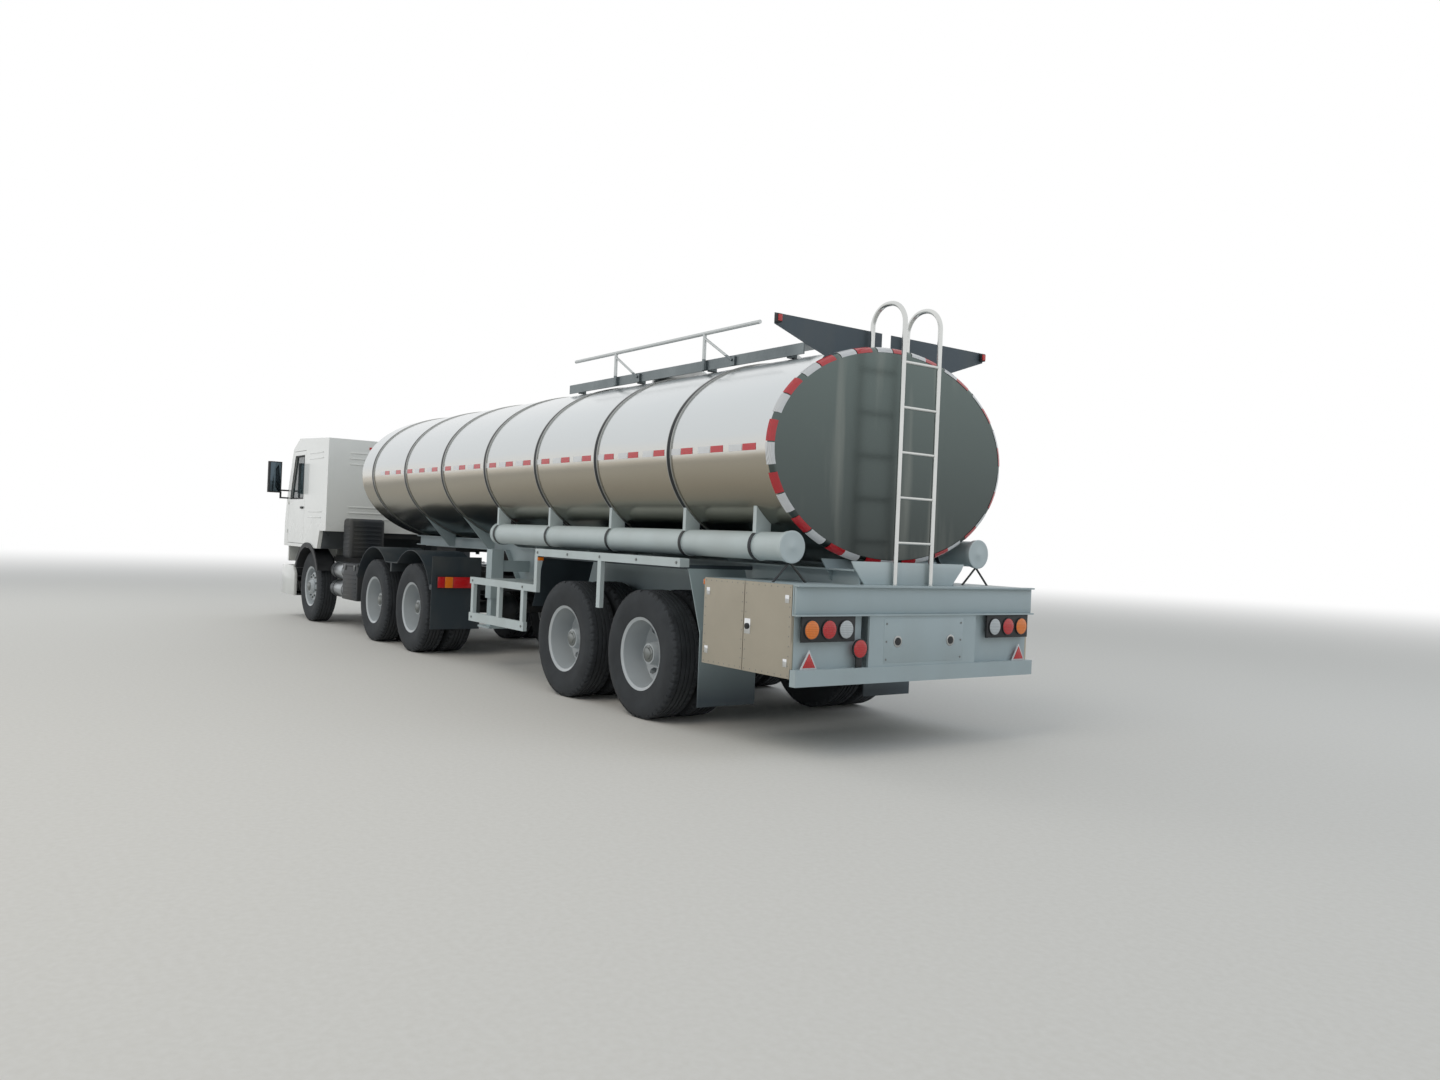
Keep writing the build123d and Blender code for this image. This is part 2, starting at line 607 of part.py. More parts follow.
# Tubes for hoses, closed at both ends, in hangers under the tank's bands.
HANGERS = (750, 1677, 2857, 4037, 5217)
CAP_LENGTH = 40
CAP_OVER = 10
HANGER_RING = 8
with BuildPart() as hose_tubes:
    for side_name, side in SIDES:
        tube_y = side * TUBE_Y
        rod((TUBE_REAR, tube_y, TUBE_Z), (TUBE_FRONT, tube_y, TUBE_Z), TUBE_RADIUS)
        rod(
            (TUBE_REAR + TUBE_WALL, tube_y, TUBE_Z),
            (TUBE_FRONT - TUBE_WALL, tube_y, TUBE_Z),
            TUBE_RADIUS - TUBE_WALL,
            Mode.SUBTRACT,
        )
        for end_at in (TUBE_REAR, TUBE_FRONT - CAP_LENGTH):
            rod((end_at, tube_y, TUBE_Z), (end_at + CAP_LENGTH, tube_y, TUBE_Z), TUBE_RADIUS + CAP_OVER)
with BuildPart() as tube_hangers:
    for side_name, side in SIDES:
        tube_y = side * TUBE_Y
        for hanger_at in HANGERS:
            rod((hanger_at - 20, tube_y, TUBE_Z), (hanger_at + 20, tube_y, TUBE_Z), TUBE_RADIUS + HANGER_RING)
            block(hanger_at - 20, hanger_at + 20, tube_y - 70, tube_y + 70, TUBE_Z, TANK_CENTRE_Z)
        rod(
            (TUBE_REAR, tube_y, TUBE_Z),
            (TUBE_FRONT, tube_y, TUBE_Z),
            TUBE_RADIUS + SEAT,
            Mode.SUBTRACT,
        )
    cut_to_tank()
    add(hose_tubes.part)
save(tube_hangers.part, "hose_tubes")

# Cabinets at the rear corners, open to the side, with a pair of doors on the left one and one
# wide door on the right one.
CABINET_FACE = HALF_WIDTH - CABINET_DOOR - SEAT
with BuildPart() as cabinets:
    for side_name, side in SIDES:
        outer = sorted((side * CABINET_INNER, side * CABINET_FACE))
        inner = sorted((side * (CABINET_INNER + CABINET_WALL), side * (CABINET_FACE + 1)))
        block(CABINET_REAR, CABINET_FRONT, outer[0], outer[1], CABINET_BOTTOM, CABINET_TOP)
        block(
            CABINET_REAR + CABINET_WALL,
            CABINET_FRONT - CABINET_WALL,
            inner[0],
            inner[1],
            CABINET_BOTTOM + CABINET_WALL,
            CABINET_TOP - CABINET_WALL,
            Mode.SUBTRACT,
        )
save(cabinets.part, "cabinets")

# Cabinet doors: name, side, rear edge, front edge
CABINET_DOORS = [
    ("cabinet_door_left_rear", 1, CABINET_REAR + PANEL_GAP, CABINET_SPLIT - PANEL_GAP / 2),
    ("cabinet_door_left_front", 1, CABINET_SPLIT + PANEL_GAP / 2, CABINET_FRONT),
    ("cabinet_door_right", -1, CABINET_REAR + PANEL_GAP, CABINET_FRONT),
]
for door_name, side, door_rear, door_front in CABINET_DOORS:
    with BuildPart() as cabinet_door:
        leaf = sorted((side * (CABINET_FACE + SEAT), side * HALF_WIDTH))
        block(door_rear, door_front, leaf[0], leaf[1], CABINET_BOTTOM, CABINET_TOP)
    save(cabinet_door.part, door_name)

# Mudguards over the trailer's wheels: a bent sheet with a flap at the rear.
GUARD_INNER = 600
GUARD_OUTER = 1160
GUARD_PATH = [(4150, 780), (3950, 1270), (1456, 1270), (1266, 780)]
GUARD_SHEET = 8
with BuildPart() as mudguards:
    for side_name, side in SIDES:
        span = sorted((side * GUARD_INNER, side * GUARD_OUTER))
        inside = [(4142, 780), (3944, 1262), (1462, 1262), (1274, 780)]
        side_plate(GUARD_PATH + inside[::-1], span[0], span[1])
        block(1262, 1270, span[0], span[1], 200, 779)
        block(1262, 1274, span[0], span[1], 770, 800)
        tie = sorted((side * (CHASSIS_Y + PLATE / 2), side * GUARD_OUTER))
        for tie_at in (1500, 2710, 3900):
            block(tie_at - 20, tie_at + 20, tie[0], tie[1], 1270, 1300)
save(mudguards.part, "mudguards")

# Side guards ahead of the mudguards, the pale rail over them, and the stay between the wheels.
with BuildPart() as side_guards:
    for side_name, side in SIDES:
        face = sorted((side * (HALF_WIDTH - 40), side * HALF_WIDTH))
        rail = sorted((side * (GUARD_OUTER + SEAT), side * HALF_WIDTH))
        block(1450, 3950, rail[0], rail[1], 1280, 1350)
        block(2680, 2740, face[0], face[1], 870, 1290)
        block(3900, 3960, face[0], face[1], 930, 1290)
        block(3900, 5470, face[0], face[1], 930, 1000)
        block(4150, 5470, face[0], face[1], 530, 620)
        for post_at in (4200, 4750, 5400):
            block(post_at - 30, post_at + 30, face[0], face[1], 530, 1000)
        arm = sorted((side * (CHASSIS_Y + PLATE / 2 + SEAT), side * (HALF_WIDTH - 20)))
        for arm_at in (4500, 5250):
            block(arm_at - 30, arm_at + 30, arm[0], arm[1], 945, 995)
save(side_guards.part, "side_guards")

# Landing gear: a square housing each side with its inner leg down to a foot, and a cross tube.
LEG_AT = 5620
LEG_Y = 900
LEG_OUTER = 70
LEG_INNER = 52
LEG_TOP = 1300
LEG_SPLIT = 760
FOOT_TOP = 455
with BuildPart() as landing_gear:
    for side_name, side in SIDES:
        leg_y = side * LEG_Y
        block(LEG_AT - LEG_OUTER, LEG_AT + LEG_OUTER, leg_y - LEG_OUTER, leg_y + LEG_OUTER, LEG_SPLIT, LEG_TOP)
        block(LEG_AT - LEG_INNER, LEG_AT + LEG_INNER, leg_y - LEG_INNER, leg_y + LEG_INNER, FOOT_TOP, LEG_SPLIT)
        block(LEG_AT - 150, LEG_AT + 150, leg_y - 110, leg_y + 110, FOOT_TOP - 20, FOOT_TOP)
        carrier = sorted((side * (CHASSIS_Y + PLATE / 2 + SEAT), side * (LEG_Y - LEG_OUTER)))
        block(LEG_AT - 60, LEG_AT + 60, carrier[0], carrier[1], 1060, 1180)
    rod((LEG_AT, -LEG_Y, 900), (LEG_AT, LEG_Y, 900), 25)
save(landing_gear.part, "landing_gear")

# Trailer axles with their leaf springs and hangers.
AXLE_TUBE = 70
SPINDLE_END = HUB_BORE_END - 10
AXLE_SHOULDER = DRUM_INNER_Y - 15
SPRING_REACH = 560
SPRING_Y = CHASSIS_Y
SPRING_HALF = 38
with BuildPart() as trailer_axles:
    for axle_at in TRAILER_AXLES:
        rod((axle_at, -AXLE_SHOULDER, TYRE_RADIUS), (axle_at, AXLE_SHOULDER, TYRE_RADIUS), AXLE_TUBE)
        rod((axle_at, -SPINDLE_END, TYRE_RADIUS), (axle_at, SPINDLE_END, TYRE_RADIUS), SPINDLE_RADIUS)
        for side_name, side in SIDES:
            spring = (side * SPRING_Y - SPRING_HALF, side * SPRING_Y + SPRING_HALF)
            block(axle_at - 60, axle_at + 60, spring[0], spring[1], TYRE_RADIUS, TYRE_RADIUS + 110)
            leaf = [
                (axle_at - SPRING_REACH, 750),
                (axle_at, 640),
                (axle_at + SPRING_REACH, 750),
                (axle_at + SPRING_REACH, 775),
                (axle_at, 720),
                (axle_at - SPRING_REACH, 775),
            ]
            side_plate(leaf, spring[0], spring[1])
    for side_name, side in SIDES:
        spring = (side * SPRING_Y - SPRING_HALF, side * SPRING_Y + SPRING_HALF)
        for hanger_at in (TRAILER_AXLES[0] - SPRING_REACH - 20, 2710, TRAILER_AXLES[1] + SPRING_REACH + 20):
            block(hanger_at - 90, hanger_at + 90, spring[0], spring[1], 740, CHASSIS_BOTTOM - SEAT)
save(trailer_axles.part, "trailer_axles")

# Tractor frame: two channels, cross members, the rear flaps' bar and the cab's rear mount.
CAB_MOUNT_AT = 10950
CHEEK_HALF = 11
CHEEK_RADIUS = 38
with BuildPart() as tractor_frame:
    for side_name, side in SIDES:
        web = sorted((side * (FRAME_OUTER - FRAME_WEB), side * FRAME_OUTER))
        flange = sorted((side * (FRAME_OUTER - FRAME_FLANGE), side * FRAME_OUTER))
        block(FRAME_REAR, FRAME_FRONT, web[0], web[1], FRAME_BOTTOM, FRAME_TOP)
        block(FRAME_REAR, FRAME_FRONT, flange[0], flange[1], FRAME_TOP - FRAME_WEB, FRAME_TOP)
        block(FRAME_REAR, FRAME_FRONT, flange[0], flange[1], FRAME_BOTTOM, FRAME_BOTTOM + FRAME_WEB)
        block(FRAME_FRONT - 60, FRAME_FRONT, flange[0], flange[1], FRAME_BOTTOM, FRAME_TOP)
        for cheek_y in (FRAME_OUTER - FRAME_FLANGE + CHEEK_HALF, FRAME_OUTER - CHEEK_HALF):
            cheek = (side * cheek_y - CHEEK_HALF, side * cheek_y + CHEEK_HALF)
            low = CAB_PIVOT_Z - CHEEK_RADIUS
            high = CAB_PIVOT_Z + CHEEK_RADIUS
            block(FRAME_FRONT - 20, CAB_PIVOT_AT, cheek[0], cheek[1], low, high)
            rod((CAB_PIVOT_AT, cheek[0], CAB_PIVOT_Z), (CAB_PIVOT_AT, cheek[1], CAB_PIVOT_Z), CHEEK_RADIUS)
        pin = (CAB_PIVOT_AT, side * (FRAME_OUTER - FRAME_FLANGE), CAB_PIVOT_Z)
        rod(pin, (CAB_PIVOT_AT, side * FRAME_OUTER, CAB_PIVOT_Z), 20)
        mount = sorted((side * (FRAME_OUTER - FRAME_FLANGE), side * FRAME_OUTER))
        block(CAB_MOUNT_AT - 40, CAB_MOUNT_AT + 40, mount[0], mount[1], FRAME_TOP, CAB_REAR_FLOOR - SEAT)
    for member_at in (FRAME_REAR + 60, BOGIE_AT, 9800):
        block(member_at - 40, member_at + 40, -FRAME_OUTER + 5, FRAME_OUTER - 5, FRAME_BOTTOM + 60, FRAME_TOP - 40)
    block(CAB_MOUNT_AT - 40, CAB_MOUNT_AT + 40, -FRAME_OUTER, FRAME_OUTER, CAB_REAR_FLOOR - 80, CAB_REAR_FLOOR - SEAT)
save(tractor_frame.part, "tractor_frame")

# Fifth wheel: a plate with a throat that is open to the rear, on two brackets.
FIFTH_REAR = 7720
FIFTH_FRONT = 8480
FIFTH_HALF = 440
FIFTH_THICK = 50
THROAT_CLEARANCE = 0.3
with BuildPart() as fifth_wheel:
    plate_outline = [
        (fore(FIFTH_FRONT), -FIFTH_HALF),
        (fore(FIFTH_FRONT), FIFTH_HALF),
        (fore(FIFTH_REAR + 120), FIFTH_HALF),
        (fore(FIFTH_REAR), 160),
        (fore(KINGPIN_AT), KINGPIN_RADIUS + THROAT_CLEARANCE),
        (fore(KINGPIN_AT), -KINGPIN_RADIUS - THROAT_CLEARANCE),
        (fore(FIFTH_REAR), -160),
        (fore(FIFTH_REAR + 120), -FIFTH_HALF),
    ]
    with BuildSketch(Plane.XY.offset(COUPLER_Z - FIFTH_THICK)):
        with BuildLine():
            Polyline(*plate_outline, close=True)
        make_face()
        with Locations((fore(KINGPIN_AT), 0)):
            Circle(KINGPIN_RADIUS + THROAT_CLEARANCE, mode=Mode.SUBTRACT)
    extrude(amount=FIFTH_THICK)
    for side_name, side in SIDES:
        bracket = sorted((side * (FRAME_OUTER - FRAME_FLANGE), side * FRAME_OUTER))
        block(KINGPIN_AT - 200, KINGPIN_AT + 200, bracket[0], bracket[1], FRAME_TOP + SEAT, COUPLER_Z - FIFTH_THICK)
save(fifth_wheel.part, "fifth_wheel")

# Drive axles: tubes with a round head in the middle, one leaf pack each side across both axles.
HEAD_RADIUS = 200
DRIVE_SPRING_Y = 520
with BuildPart() as drive_axles:
    for axle_at in DRIVE_AXLES:
        rod((axle_at, -AXLE_SHOULDER, TYRE_RADIUS), (axle_at, AXLE_SHOULDER, TYRE_RADIUS), AXLE_TUBE)
        rod((axle_at, -SPINDLE_END, TYRE_RADIUS), (axle_at, SPINDLE_END, TYRE_RADIUS), SPINDLE_RADIUS)
        with Locations((fore(axle_at), 0, TYRE_RADIUS)):
            Sphere(HEAD_RADIUS)
    rod((DRIVE_AXLES[0], 0, TYRE_RADIUS), (DRIVE_AXLES[1], 0, TYRE_RADIUS), 50)
    for side_name, side in SIDES:
        spring = (side * DRIVE_SPRING_Y - 45, side * DRIVE_SPRING_Y + 45)
        leaf = [
            (DRIVE_AXLES[0] - 90, TYRE_RADIUS + 60),
            (DRIVE_AXLES[0] + 90, TYRE_RADIUS + 60),
            (BOGIE_AT, 700),
            (DRIVE_AXLES[1] - 90, TYRE_RADIUS + 60),
            (DRIVE_AXLES[1] + 90, TYRE_RADIUS + 60),
            (DRIVE_AXLES[1] + 90, TYRE_RADIUS + 100),
            (BOGIE_AT, 830),
            (DRIVE_AXLES[0] - 90, TYRE_RADIUS + 100),
        ]
        side_plate(leaf, spring[0], spring[1])
        saddle = sorted((side * (FRAME_OUTER + SEAT), side * DRIVE_SPRING_Y))
        block(BOGIE_AT - 120, BOGIE_AT + 120, saddle[0], saddle[1], 640, 860)
save(drive_axles.part, "drive_axles")

# Front axle: a dropped beam with an eye at each end for the steering pin, and leaf springs.
EYE_RADIUS = 45
EYE_LOW = TYRE_RADIUS - 50
EYE_HIGH = TYRE_RADIUS + 50
BEAM_HALF = 40
with BuildPart() as front_axle:
    beam = [
        (-STEER_PIN_Y, EYE_LOW + 5),
        (-STEER_PIN_Y + 90, EYE_LOW + 5),
        (-560, 430),
        (560, 430),
        (STEER_PIN_Y - 90, EYE_LOW + 5),
        (STEER_PIN_Y, EYE_LOW + 5),
        (STEER_PIN_Y, EYE_HIGH - 5),
        (STEER_PIN_Y - 90, EYE_HIGH - 5),
        (560, 520),
        (-560, 520),
        (-STEER_PIN_Y + 90, EYE_HIGH - 5),
        (-STEER_PIN_Y, EYE_HIGH - 5),
    ]
    cross_plate(beam, FRONT_AXLE - BEAM_HALF, FRONT_AXLE + BEAM_HALF)
    for side_name, side in SIDES:
        pin_y = side * STEER_PIN_Y
        rod((FRONT_AXLE, pin_y, EYE_LOW), (FRONT_AXLE, pin_y, EYE_HIGH), EYE_RADIUS)
    for side_name, side in SIDES:
        pin_y = side * STEER_PIN_Y
        rod((FRONT_AXLE, pin_y, 0), (FRONT_AXLE, pin_y, 900), STEER_PIN_RADIUS + SHAFT_FIT, Mode.SUBTRACT)
    for side_name, side in SIDES:
        spring_y = side * (FRAME_OUTER - 35)
        spring = (spring_y - 38, spring_y + 38)
        leaf = [
            (FRONT_AXLE - 800, 640),
            (FRONT_AXLE, 530),
            (FRONT_AXLE + 800, 640),
            (FRONT_AXLE + 800, 665),
            (FRONT_AXLE, 600),
            (FRONT_AXLE - 800, 665),
        ]
        side_plate(leaf, spring[0], spring[1])
        block(FRONT_AXLE - 70, FRONT_AXLE + 70, spring[0], spring[1], 520 + SEAT, 600)
        for end_at in (FRONT_AXLE - 800, FRONT_AXLE + 760):
            block(end_at, end_at + 40, spring[0], spring[1], 640, FRAME_BOTTOM - SEAT)
save(front_axle.part, "front_axle")

# Steering knuckles: a fork over the axle's eye with the pin through both, and the wheel's spindle.
FORK_GAP = 5
FORK_THICK = 40
for side_name, side in SIDES:
    with BuildPart() as knuckle:
        pin_y = side * STEER_PIN_Y
        fork_low = EYE_LOW - FORK_GAP - FORK_THICK
        fork_high = EYE_HIGH + FORK_GAP + FORK_THICK
        rod((FRONT_AXLE, pin_y, fork_low), (FRONT_AXLE, pin_y, fork_high), STEER_PIN_RADIUS)
        body = sorted((side * (STEER_PIN_Y + EYE_RADIUS + 12), side * (STEER_DRUM_IN - 8)))
        reach = sorted((side * (STEER_PIN_Y - 35), side * (STEER_DRUM_IN - 8)))
        block(FRONT_AXLE - 40, FRONT_AXLE + 40, body[0], body[1], fork_low, fork_high)
        block(FRONT_AXLE - 40, FRONT_AXLE + 40, reach[0], reach[1], fork_low, fork_low + FORK_THICK)
        block(FRONT_AXLE - 40, FRONT_AXLE + 40, reach[0], reach[1], fork_high - FORK_THICK, fork_high)
        spindle_start = (FRONT_AXLE, side * (STEER_PIN_Y + EYE_RADIUS + 20), TYRE_RADIUS)
        rod(spindle_start, (FRONT_AXLE, side * (STEER_BORE_END - 10), TYRE_RADIUS), SPINDLE_RADIUS)
    save(knuckle.part, f"knuckle_{side_name}")

# Engine with its gearbox, one plain block each, and the propeller shaft back to the axles.
with BuildPart() as engine:
    block(11200, 12600, -330, 330, 620, CAB_FLOOR - 20)
    block(10300, 11200, -260, 260, 640, 960)
    rod((DRIVE_AXLES[1] + HEAD_RADIUS + 20, 0, TYRE_RADIUS + 40), (10300, 0, 720), 45)
    for side_name, side in SIDES:
        foot = sorted((side * 300, side * (FRAME_OUTER - FRAME_WEB - SEAT)))
        block(11500, 11600, foot[0], foot[1], 800, 860)
        block(12300, 12400, foot[0], foot[1], 800, 860)
save(engine.part, "engine")

# Fuel tank on the right, battery box, air tanks and the intake behind the cab on the left.
with BuildPart() as fuel_tank:
    block(9450, 10750, -1180, -560, 430, 1010)
    fillet(fuel_tank.edges().filter_by(Axis.X), radius=90)
    for strap_at in (9700, 10450):
        block(strap_at - 30, strap_at + 30, -570, -FRAME_OUTER - SEAT, 800, 960)
save(fuel_tank.part, "fuel_tank")

with BuildPart() as side_boxes:
    block(9500, 10150, 620, 1160, 450, 960)
    for air_z in (560, 830):
        rod((10230, 960, air_z), (11000, 960, air_z), 125)
    block(9700, 10900, FRAME_OUTER + SEAT, 640, 800, 900)
    block(10550, 10620, 600, 900, 470, 900)
with BuildPart() as intake_stack:
    block(10400, 10750, 480, 1000, FRAME_TOP + 20, 2350)
    fillet(intake_stack.edges().filter_by(Axis.Z), radius=60)
    block(10450, 10700, -900, -480, FRAME_TOP + 20, 1700)
    block(10450, 10700, -500, 500, FRAME_TOP + SEAT, FRAME_TOP + 80)
    add(side_boxes.part)
save(intake_stack.part, "side_boxes")

# Drive-wheel fenders: a double arch each side, closed at the rear by a flap with its lamp bar.
FENDER_BOTTOM = 800
FENDER_VALLEY = 1050
FLAP_AT = 6585
with BuildPart() as tractor_fenders:
    for side_name, side in SIDES:
        span = sorted((side * FENDER_INNER, side * FENDER_OUTER))
        for grow, mode in ((FENDER_PLATE, Mode.ADD), (0, Mode.SUBTRACT)):
            for axle_at in DRIVE_AXLES:
                rod(
                    (axle_at, span[0], TYRE_RADIUS),
                    (axle_at, span[1], TYRE_RADIUS),
                    FENDER_RADIUS + grow,
                    mode,
                )
            block(DRIVE_AXLES[0], DRIVE_AXLES[1], span[0], span[1], TYRE_RADIUS, FENDER_VALLEY + grow, mode)
        block(FLAP_AT, 9500, span[0] - 1, span[1] + 1, -300, FENDER_BOTTOM, Mode.SUBTRACT)
    for side_name, side in SIDES:
        span = sorted((side * FENDER_INNER, side * FENDER_OUTER))
        bar = sorted((side * (FRAME_OUTER - 60), side * FENDER_OUTER))
        tie = sorted((side * (FRAME_OUTER + SEAT), side * FENDER_OUTER))
        block(FLAP_AT, FLAP_AT + 8, span[0], span[1], 330, 1180)
        block(FLAP_AT + 8, FRAME_REAR - SEAT, bar[0], bar[1], 790, 850)
        block(BOGIE_AT - 20, BOGIE_AT + 20, tie[0], tie[1], 940, 980)
        block(BOGIE_AT - 20, BOGIE_AT + 20, span[0], span[1], 940, FENDER_VALLEY + 4)
        block(9300, 9328, tie[0], tie[1], 810, 850)
save(tractor_fenders.part, "tractor_fenders")

with BuildPart() as tractor_lamps:
    for side_name, side in SIDES:
        lamp = sorted((side * 750, side * 1190))
        block(FLAP_AT - 40, FLAP_AT, lamp[0], lamp[1], 810, 950)
save(tractor_lamps.part, "tractor_lamps")

# Front bumper with side returns and steps; headlamps are let into its face.
BUMPER_FACE = OVERALL_LENGTH
with BuildPart() as front_bumper:
    block(BUMPER_FACE - 60, BUMPER_FACE, -HALF_WIDTH + 30, HALF_WIDTH - 30, FRONT_BUMPER_BOTTOM, FRONT_BUMPER_TOP)
    fillet(front_bumper.edges().filter_by(Axis.Z), radius=25)
    for side_name, side in SIDES:
        wing = sorted((side * (HALF_WIDTH - 80), side * (HALF_WIDTH - 30)))
        step = sorted((side * 850, side * (HALF_WIDTH - 80)))
        arm = sorted((side * (FRAME_OUTER - FRAME_FLANGE), side * FRAME_OUTER))
        block(12400, BUMPER_FACE - 40, wing[0], wing[1], FRONT_BUMPER_BOTTOM, FRONT_BUMPER_TOP)
        for step_z in (FRONT_BUMPER_BOTTOM, 640):
            block(12400, BUMPER_FACE - 50, step[0], step[1], step_z, step_z + 30)
        tie = sorted((side * FRAME_OUTER, side * 900))
        block(12500, 12560, tie[0] + (SEAT if side > 0 else 0), tie[1] - (0 if side > 0 else SEAT), 730, 790)
        block(12500, 12560, step[0], step[1], 650, 790)
        block(FRAME_FRONT + SEAT, BUMPER_FACE - 50, arm[0], arm[1], 725, 800)
save(front_bumper.part, "front_bumper")

# Cab: a closed shell cut from its side profile, with its windows and door openings.
CAB_PROFILE = [
    (CAB_REAR, CAB_REAR_FLOOR),
    (CAB_REAR, CAB_ROOF_REAR),
    (12380, CAB_ROOF_FRONT),
    (12720, 2680),
    (13010, 1900),
    (CAB_FRONT, 1500),
    (CAB_FRONT, CAB_FLOOR),
    (11250, CAB_FLOOR),
    (11150, CAB_REAR_FLOOR),
]
CAB_INSIDE = [
    (CAB_REAR + CAB_WALL, CAB_REAR_FLOOR + CAB_WALL),
    (CAB_REAR + CAB_WALL, CAB_ROOF_REAR - CAB_WALL),
    (12370, CAB_ROOF_FRONT - CAB_WALL),
    (12680, 2650),
    (12958, 1900),
    (CAB_FRONT - CAB_WALL, 1500),
    (CAB_FRONT - CAB_WALL, CAB_FLOOR + CAB_WALL),
    (11300, CAB_FLOOR + CAB_WALL),
    (11200, CAB_REAR_FLOOR + CAB_WALL),
]
DOOR_OUTLINE = [
    (DOOR_REAR, DOOR_BOTTOM),
    (DOOR_FRONT, DOOR_BOTTOM),
    (DOOR_FRONT, 1950),
    (12660, DOOR_TOP),
    (DOOR_REAR, DOOR_TOP),
]
DOOR_WINDOW = [(12080, WAIST), (12810, WAIST), (12800, 1960), (12590, 2570), (12080, 2570)]
SCREEN_LOW = (12990, 1950)
SCREEN_HIGH = (12745, 2620)
CAB_INNER_HALF = CAB_HALF_WIDTH - CAB_WALL
DOOR_HINGE_AT = DOOR_FRONT - PANEL_GAP
with BuildPart() as cab_shell:
    side_plate(CAB_PROFILE, -CAB_HALF_WIDTH, CAB_HALF_WIDTH)
    side_plate(CAB_INSIDE, -CAB_INNER_HALF, CAB_INNER_HALF, Mode.SUBTRACT)
    for side_name, side in SIDES:
        wall = sorted((side * (CAB_INNER_HALF - 20), side * (CAB_HALF_WIDTH + 20)))
        side_plate(DOOR_OUTLINE, wall[0], wall[1], Mode.SUBTRACT)
        for hinge_z in DOOR_HINGE_ZS:
            recess = sorted((side * (CAB_HALF_WIDTH - 20), side * (CAB_HALF_WIDTH + 1)))
            tops = (hinge_z + DOOR_BARREL_HEIGHT, hinge_z + 2 * DOOR_BARREL_HEIGHT + PANEL_GAP)
            block(DOOR_FRONT - 1, DOOR_FRONT + PANEL_GAP + 8, recess[0], recess[1], tops[0], tops[1], Mode.SUBTRACT)
            hinge = (DOOR_HINGE_AT, side * CAB_HALF_WIDTH)
            rod((*hinge, hinge_z), (*hinge, tops[0]), DOOR_BARREL)
            ear = (side * CAB_HALF_WIDTH - DOOR_BARREL, side * CAB_HALF_WIDTH + DOOR_BARREL)
            block(DOOR_HINGE_AT, DOOR_FRONT + 10, ear[0], ear[1], hinge_z, tops[0])
    screen_cut = [(13100, 1950), (12800, 1950), (12600, 2620), (13100, 2620)]
    side_plate(screen_cut, -1080, 1080, Mode.SUBTRACT)
    block(CAB_FRONT - CAB_WALL, CAB_FRONT, -1150, 1150, CAB_APRON, CAB_FLOOR)
    for side_name, side in SIDES:
        eye = (side * (FRAME_OUTER - FRAME_FLANGE / 2) - 13, side * (FRAME_OUTER - FRAME_FLANGE / 2) + 13)
        block(CAB_PIVOT_AT - 30, CAB_PIVOT_AT + 30, eye[0], eye[1], CAB_PIVOT_Z, CAB_FLOOR)
        rod((CAB_PIVOT_AT, eye[0], CAB_PIVOT_Z), (CAB_PIVOT_AT, eye[1], CAB_PIVOT_Z), 30)
        rod((CAB_PIVOT_AT, eye[0] - 5, CAB_PIVOT_Z), (CAB_PIVOT_AT, eye[1] + 5, CAB_PIVOT_Z), 20.05, Mode.SUBTRACT)
save(cab_shell.part, "cab_shell")

# Windscreen: a raked pane in the front opening.
with BuildPart() as windscreen:
    pane = [(12989, 1950 + SEAT), (12981, 1950 + SEAT), (12734, 2620 - SEAT), (12742, 2620 - SEAT)]
    side_plate(pane, -1080 + SEAT, 1080 - SEAT)
save(windscreen.part, "windscreen")


def shrink(points, gap):
    """Move an outline's points towards its middle box by a gap on each axis."""
    low_d = min(d for d, z in points)
    high_d = max(d for d, z in points)
    low_z = min(z for d, z in points)
    high_z = max(z for d, z in points)
    middle_d = (low_d + high_d) / 2
    middle_z = (low_z + high_z) / 2
    scale_d = 1 - 2 * gap / (high_d - low_d)
    scale_z = 1 - 2 * gap / (high_z - low_z)
    return [(middle_d + (d - middle_d) * scale_d, middle_z + (z - middle_z) * scale_z) for d, z in points]


for side_name, side in SIDES:
    leaf = sorted((side * CAB_INNER_HALF, side * CAB_HALF_WIDTH))
    through = (leaf[0] - 5, leaf[1] + 5)
    pane = sorted((side * (CAB_HALF_WIDTH - 30), side * (CAB_HALF_WIDTH - 24)))
    with BuildPart() as cab_door:
        side_plate(shrink(DOOR_OUTLINE, PANEL_GAP), leaf[0], leaf[1])
        side_plate(DOOR_WINDOW, through[0], through[1], Mode.SUBTRACT)
        for hinge_z in DOOR_HINGE_ZS:
            low = hinge_z + DOOR_BARREL_HEIGHT + SEAT
            block(
                DOOR_HINGE_AT - DOOR_BARREL - 8,
                DOOR_FRONT,
                through[0],
                through[1],
                hinge_z - PANEL_GAP,
                low,
                Mode.SUBTRACT,
            )
            hinge = (DOOR_HINGE_AT, side * CAB_HALF_WIDTH)
            rod((*hinge, low), (*hinge, low + DOOR_BARREL_HEIGHT), DOOR_BARREL)
    save(cab_door.part, f"cab_door_{side_name}")
    with BuildPart() as door_pane:
        side_plate(shrink(DOOR_WINDOW, SEAT), pane[0], pane[1])
    save(door_pane.part, f"door_glass_{side_name}")

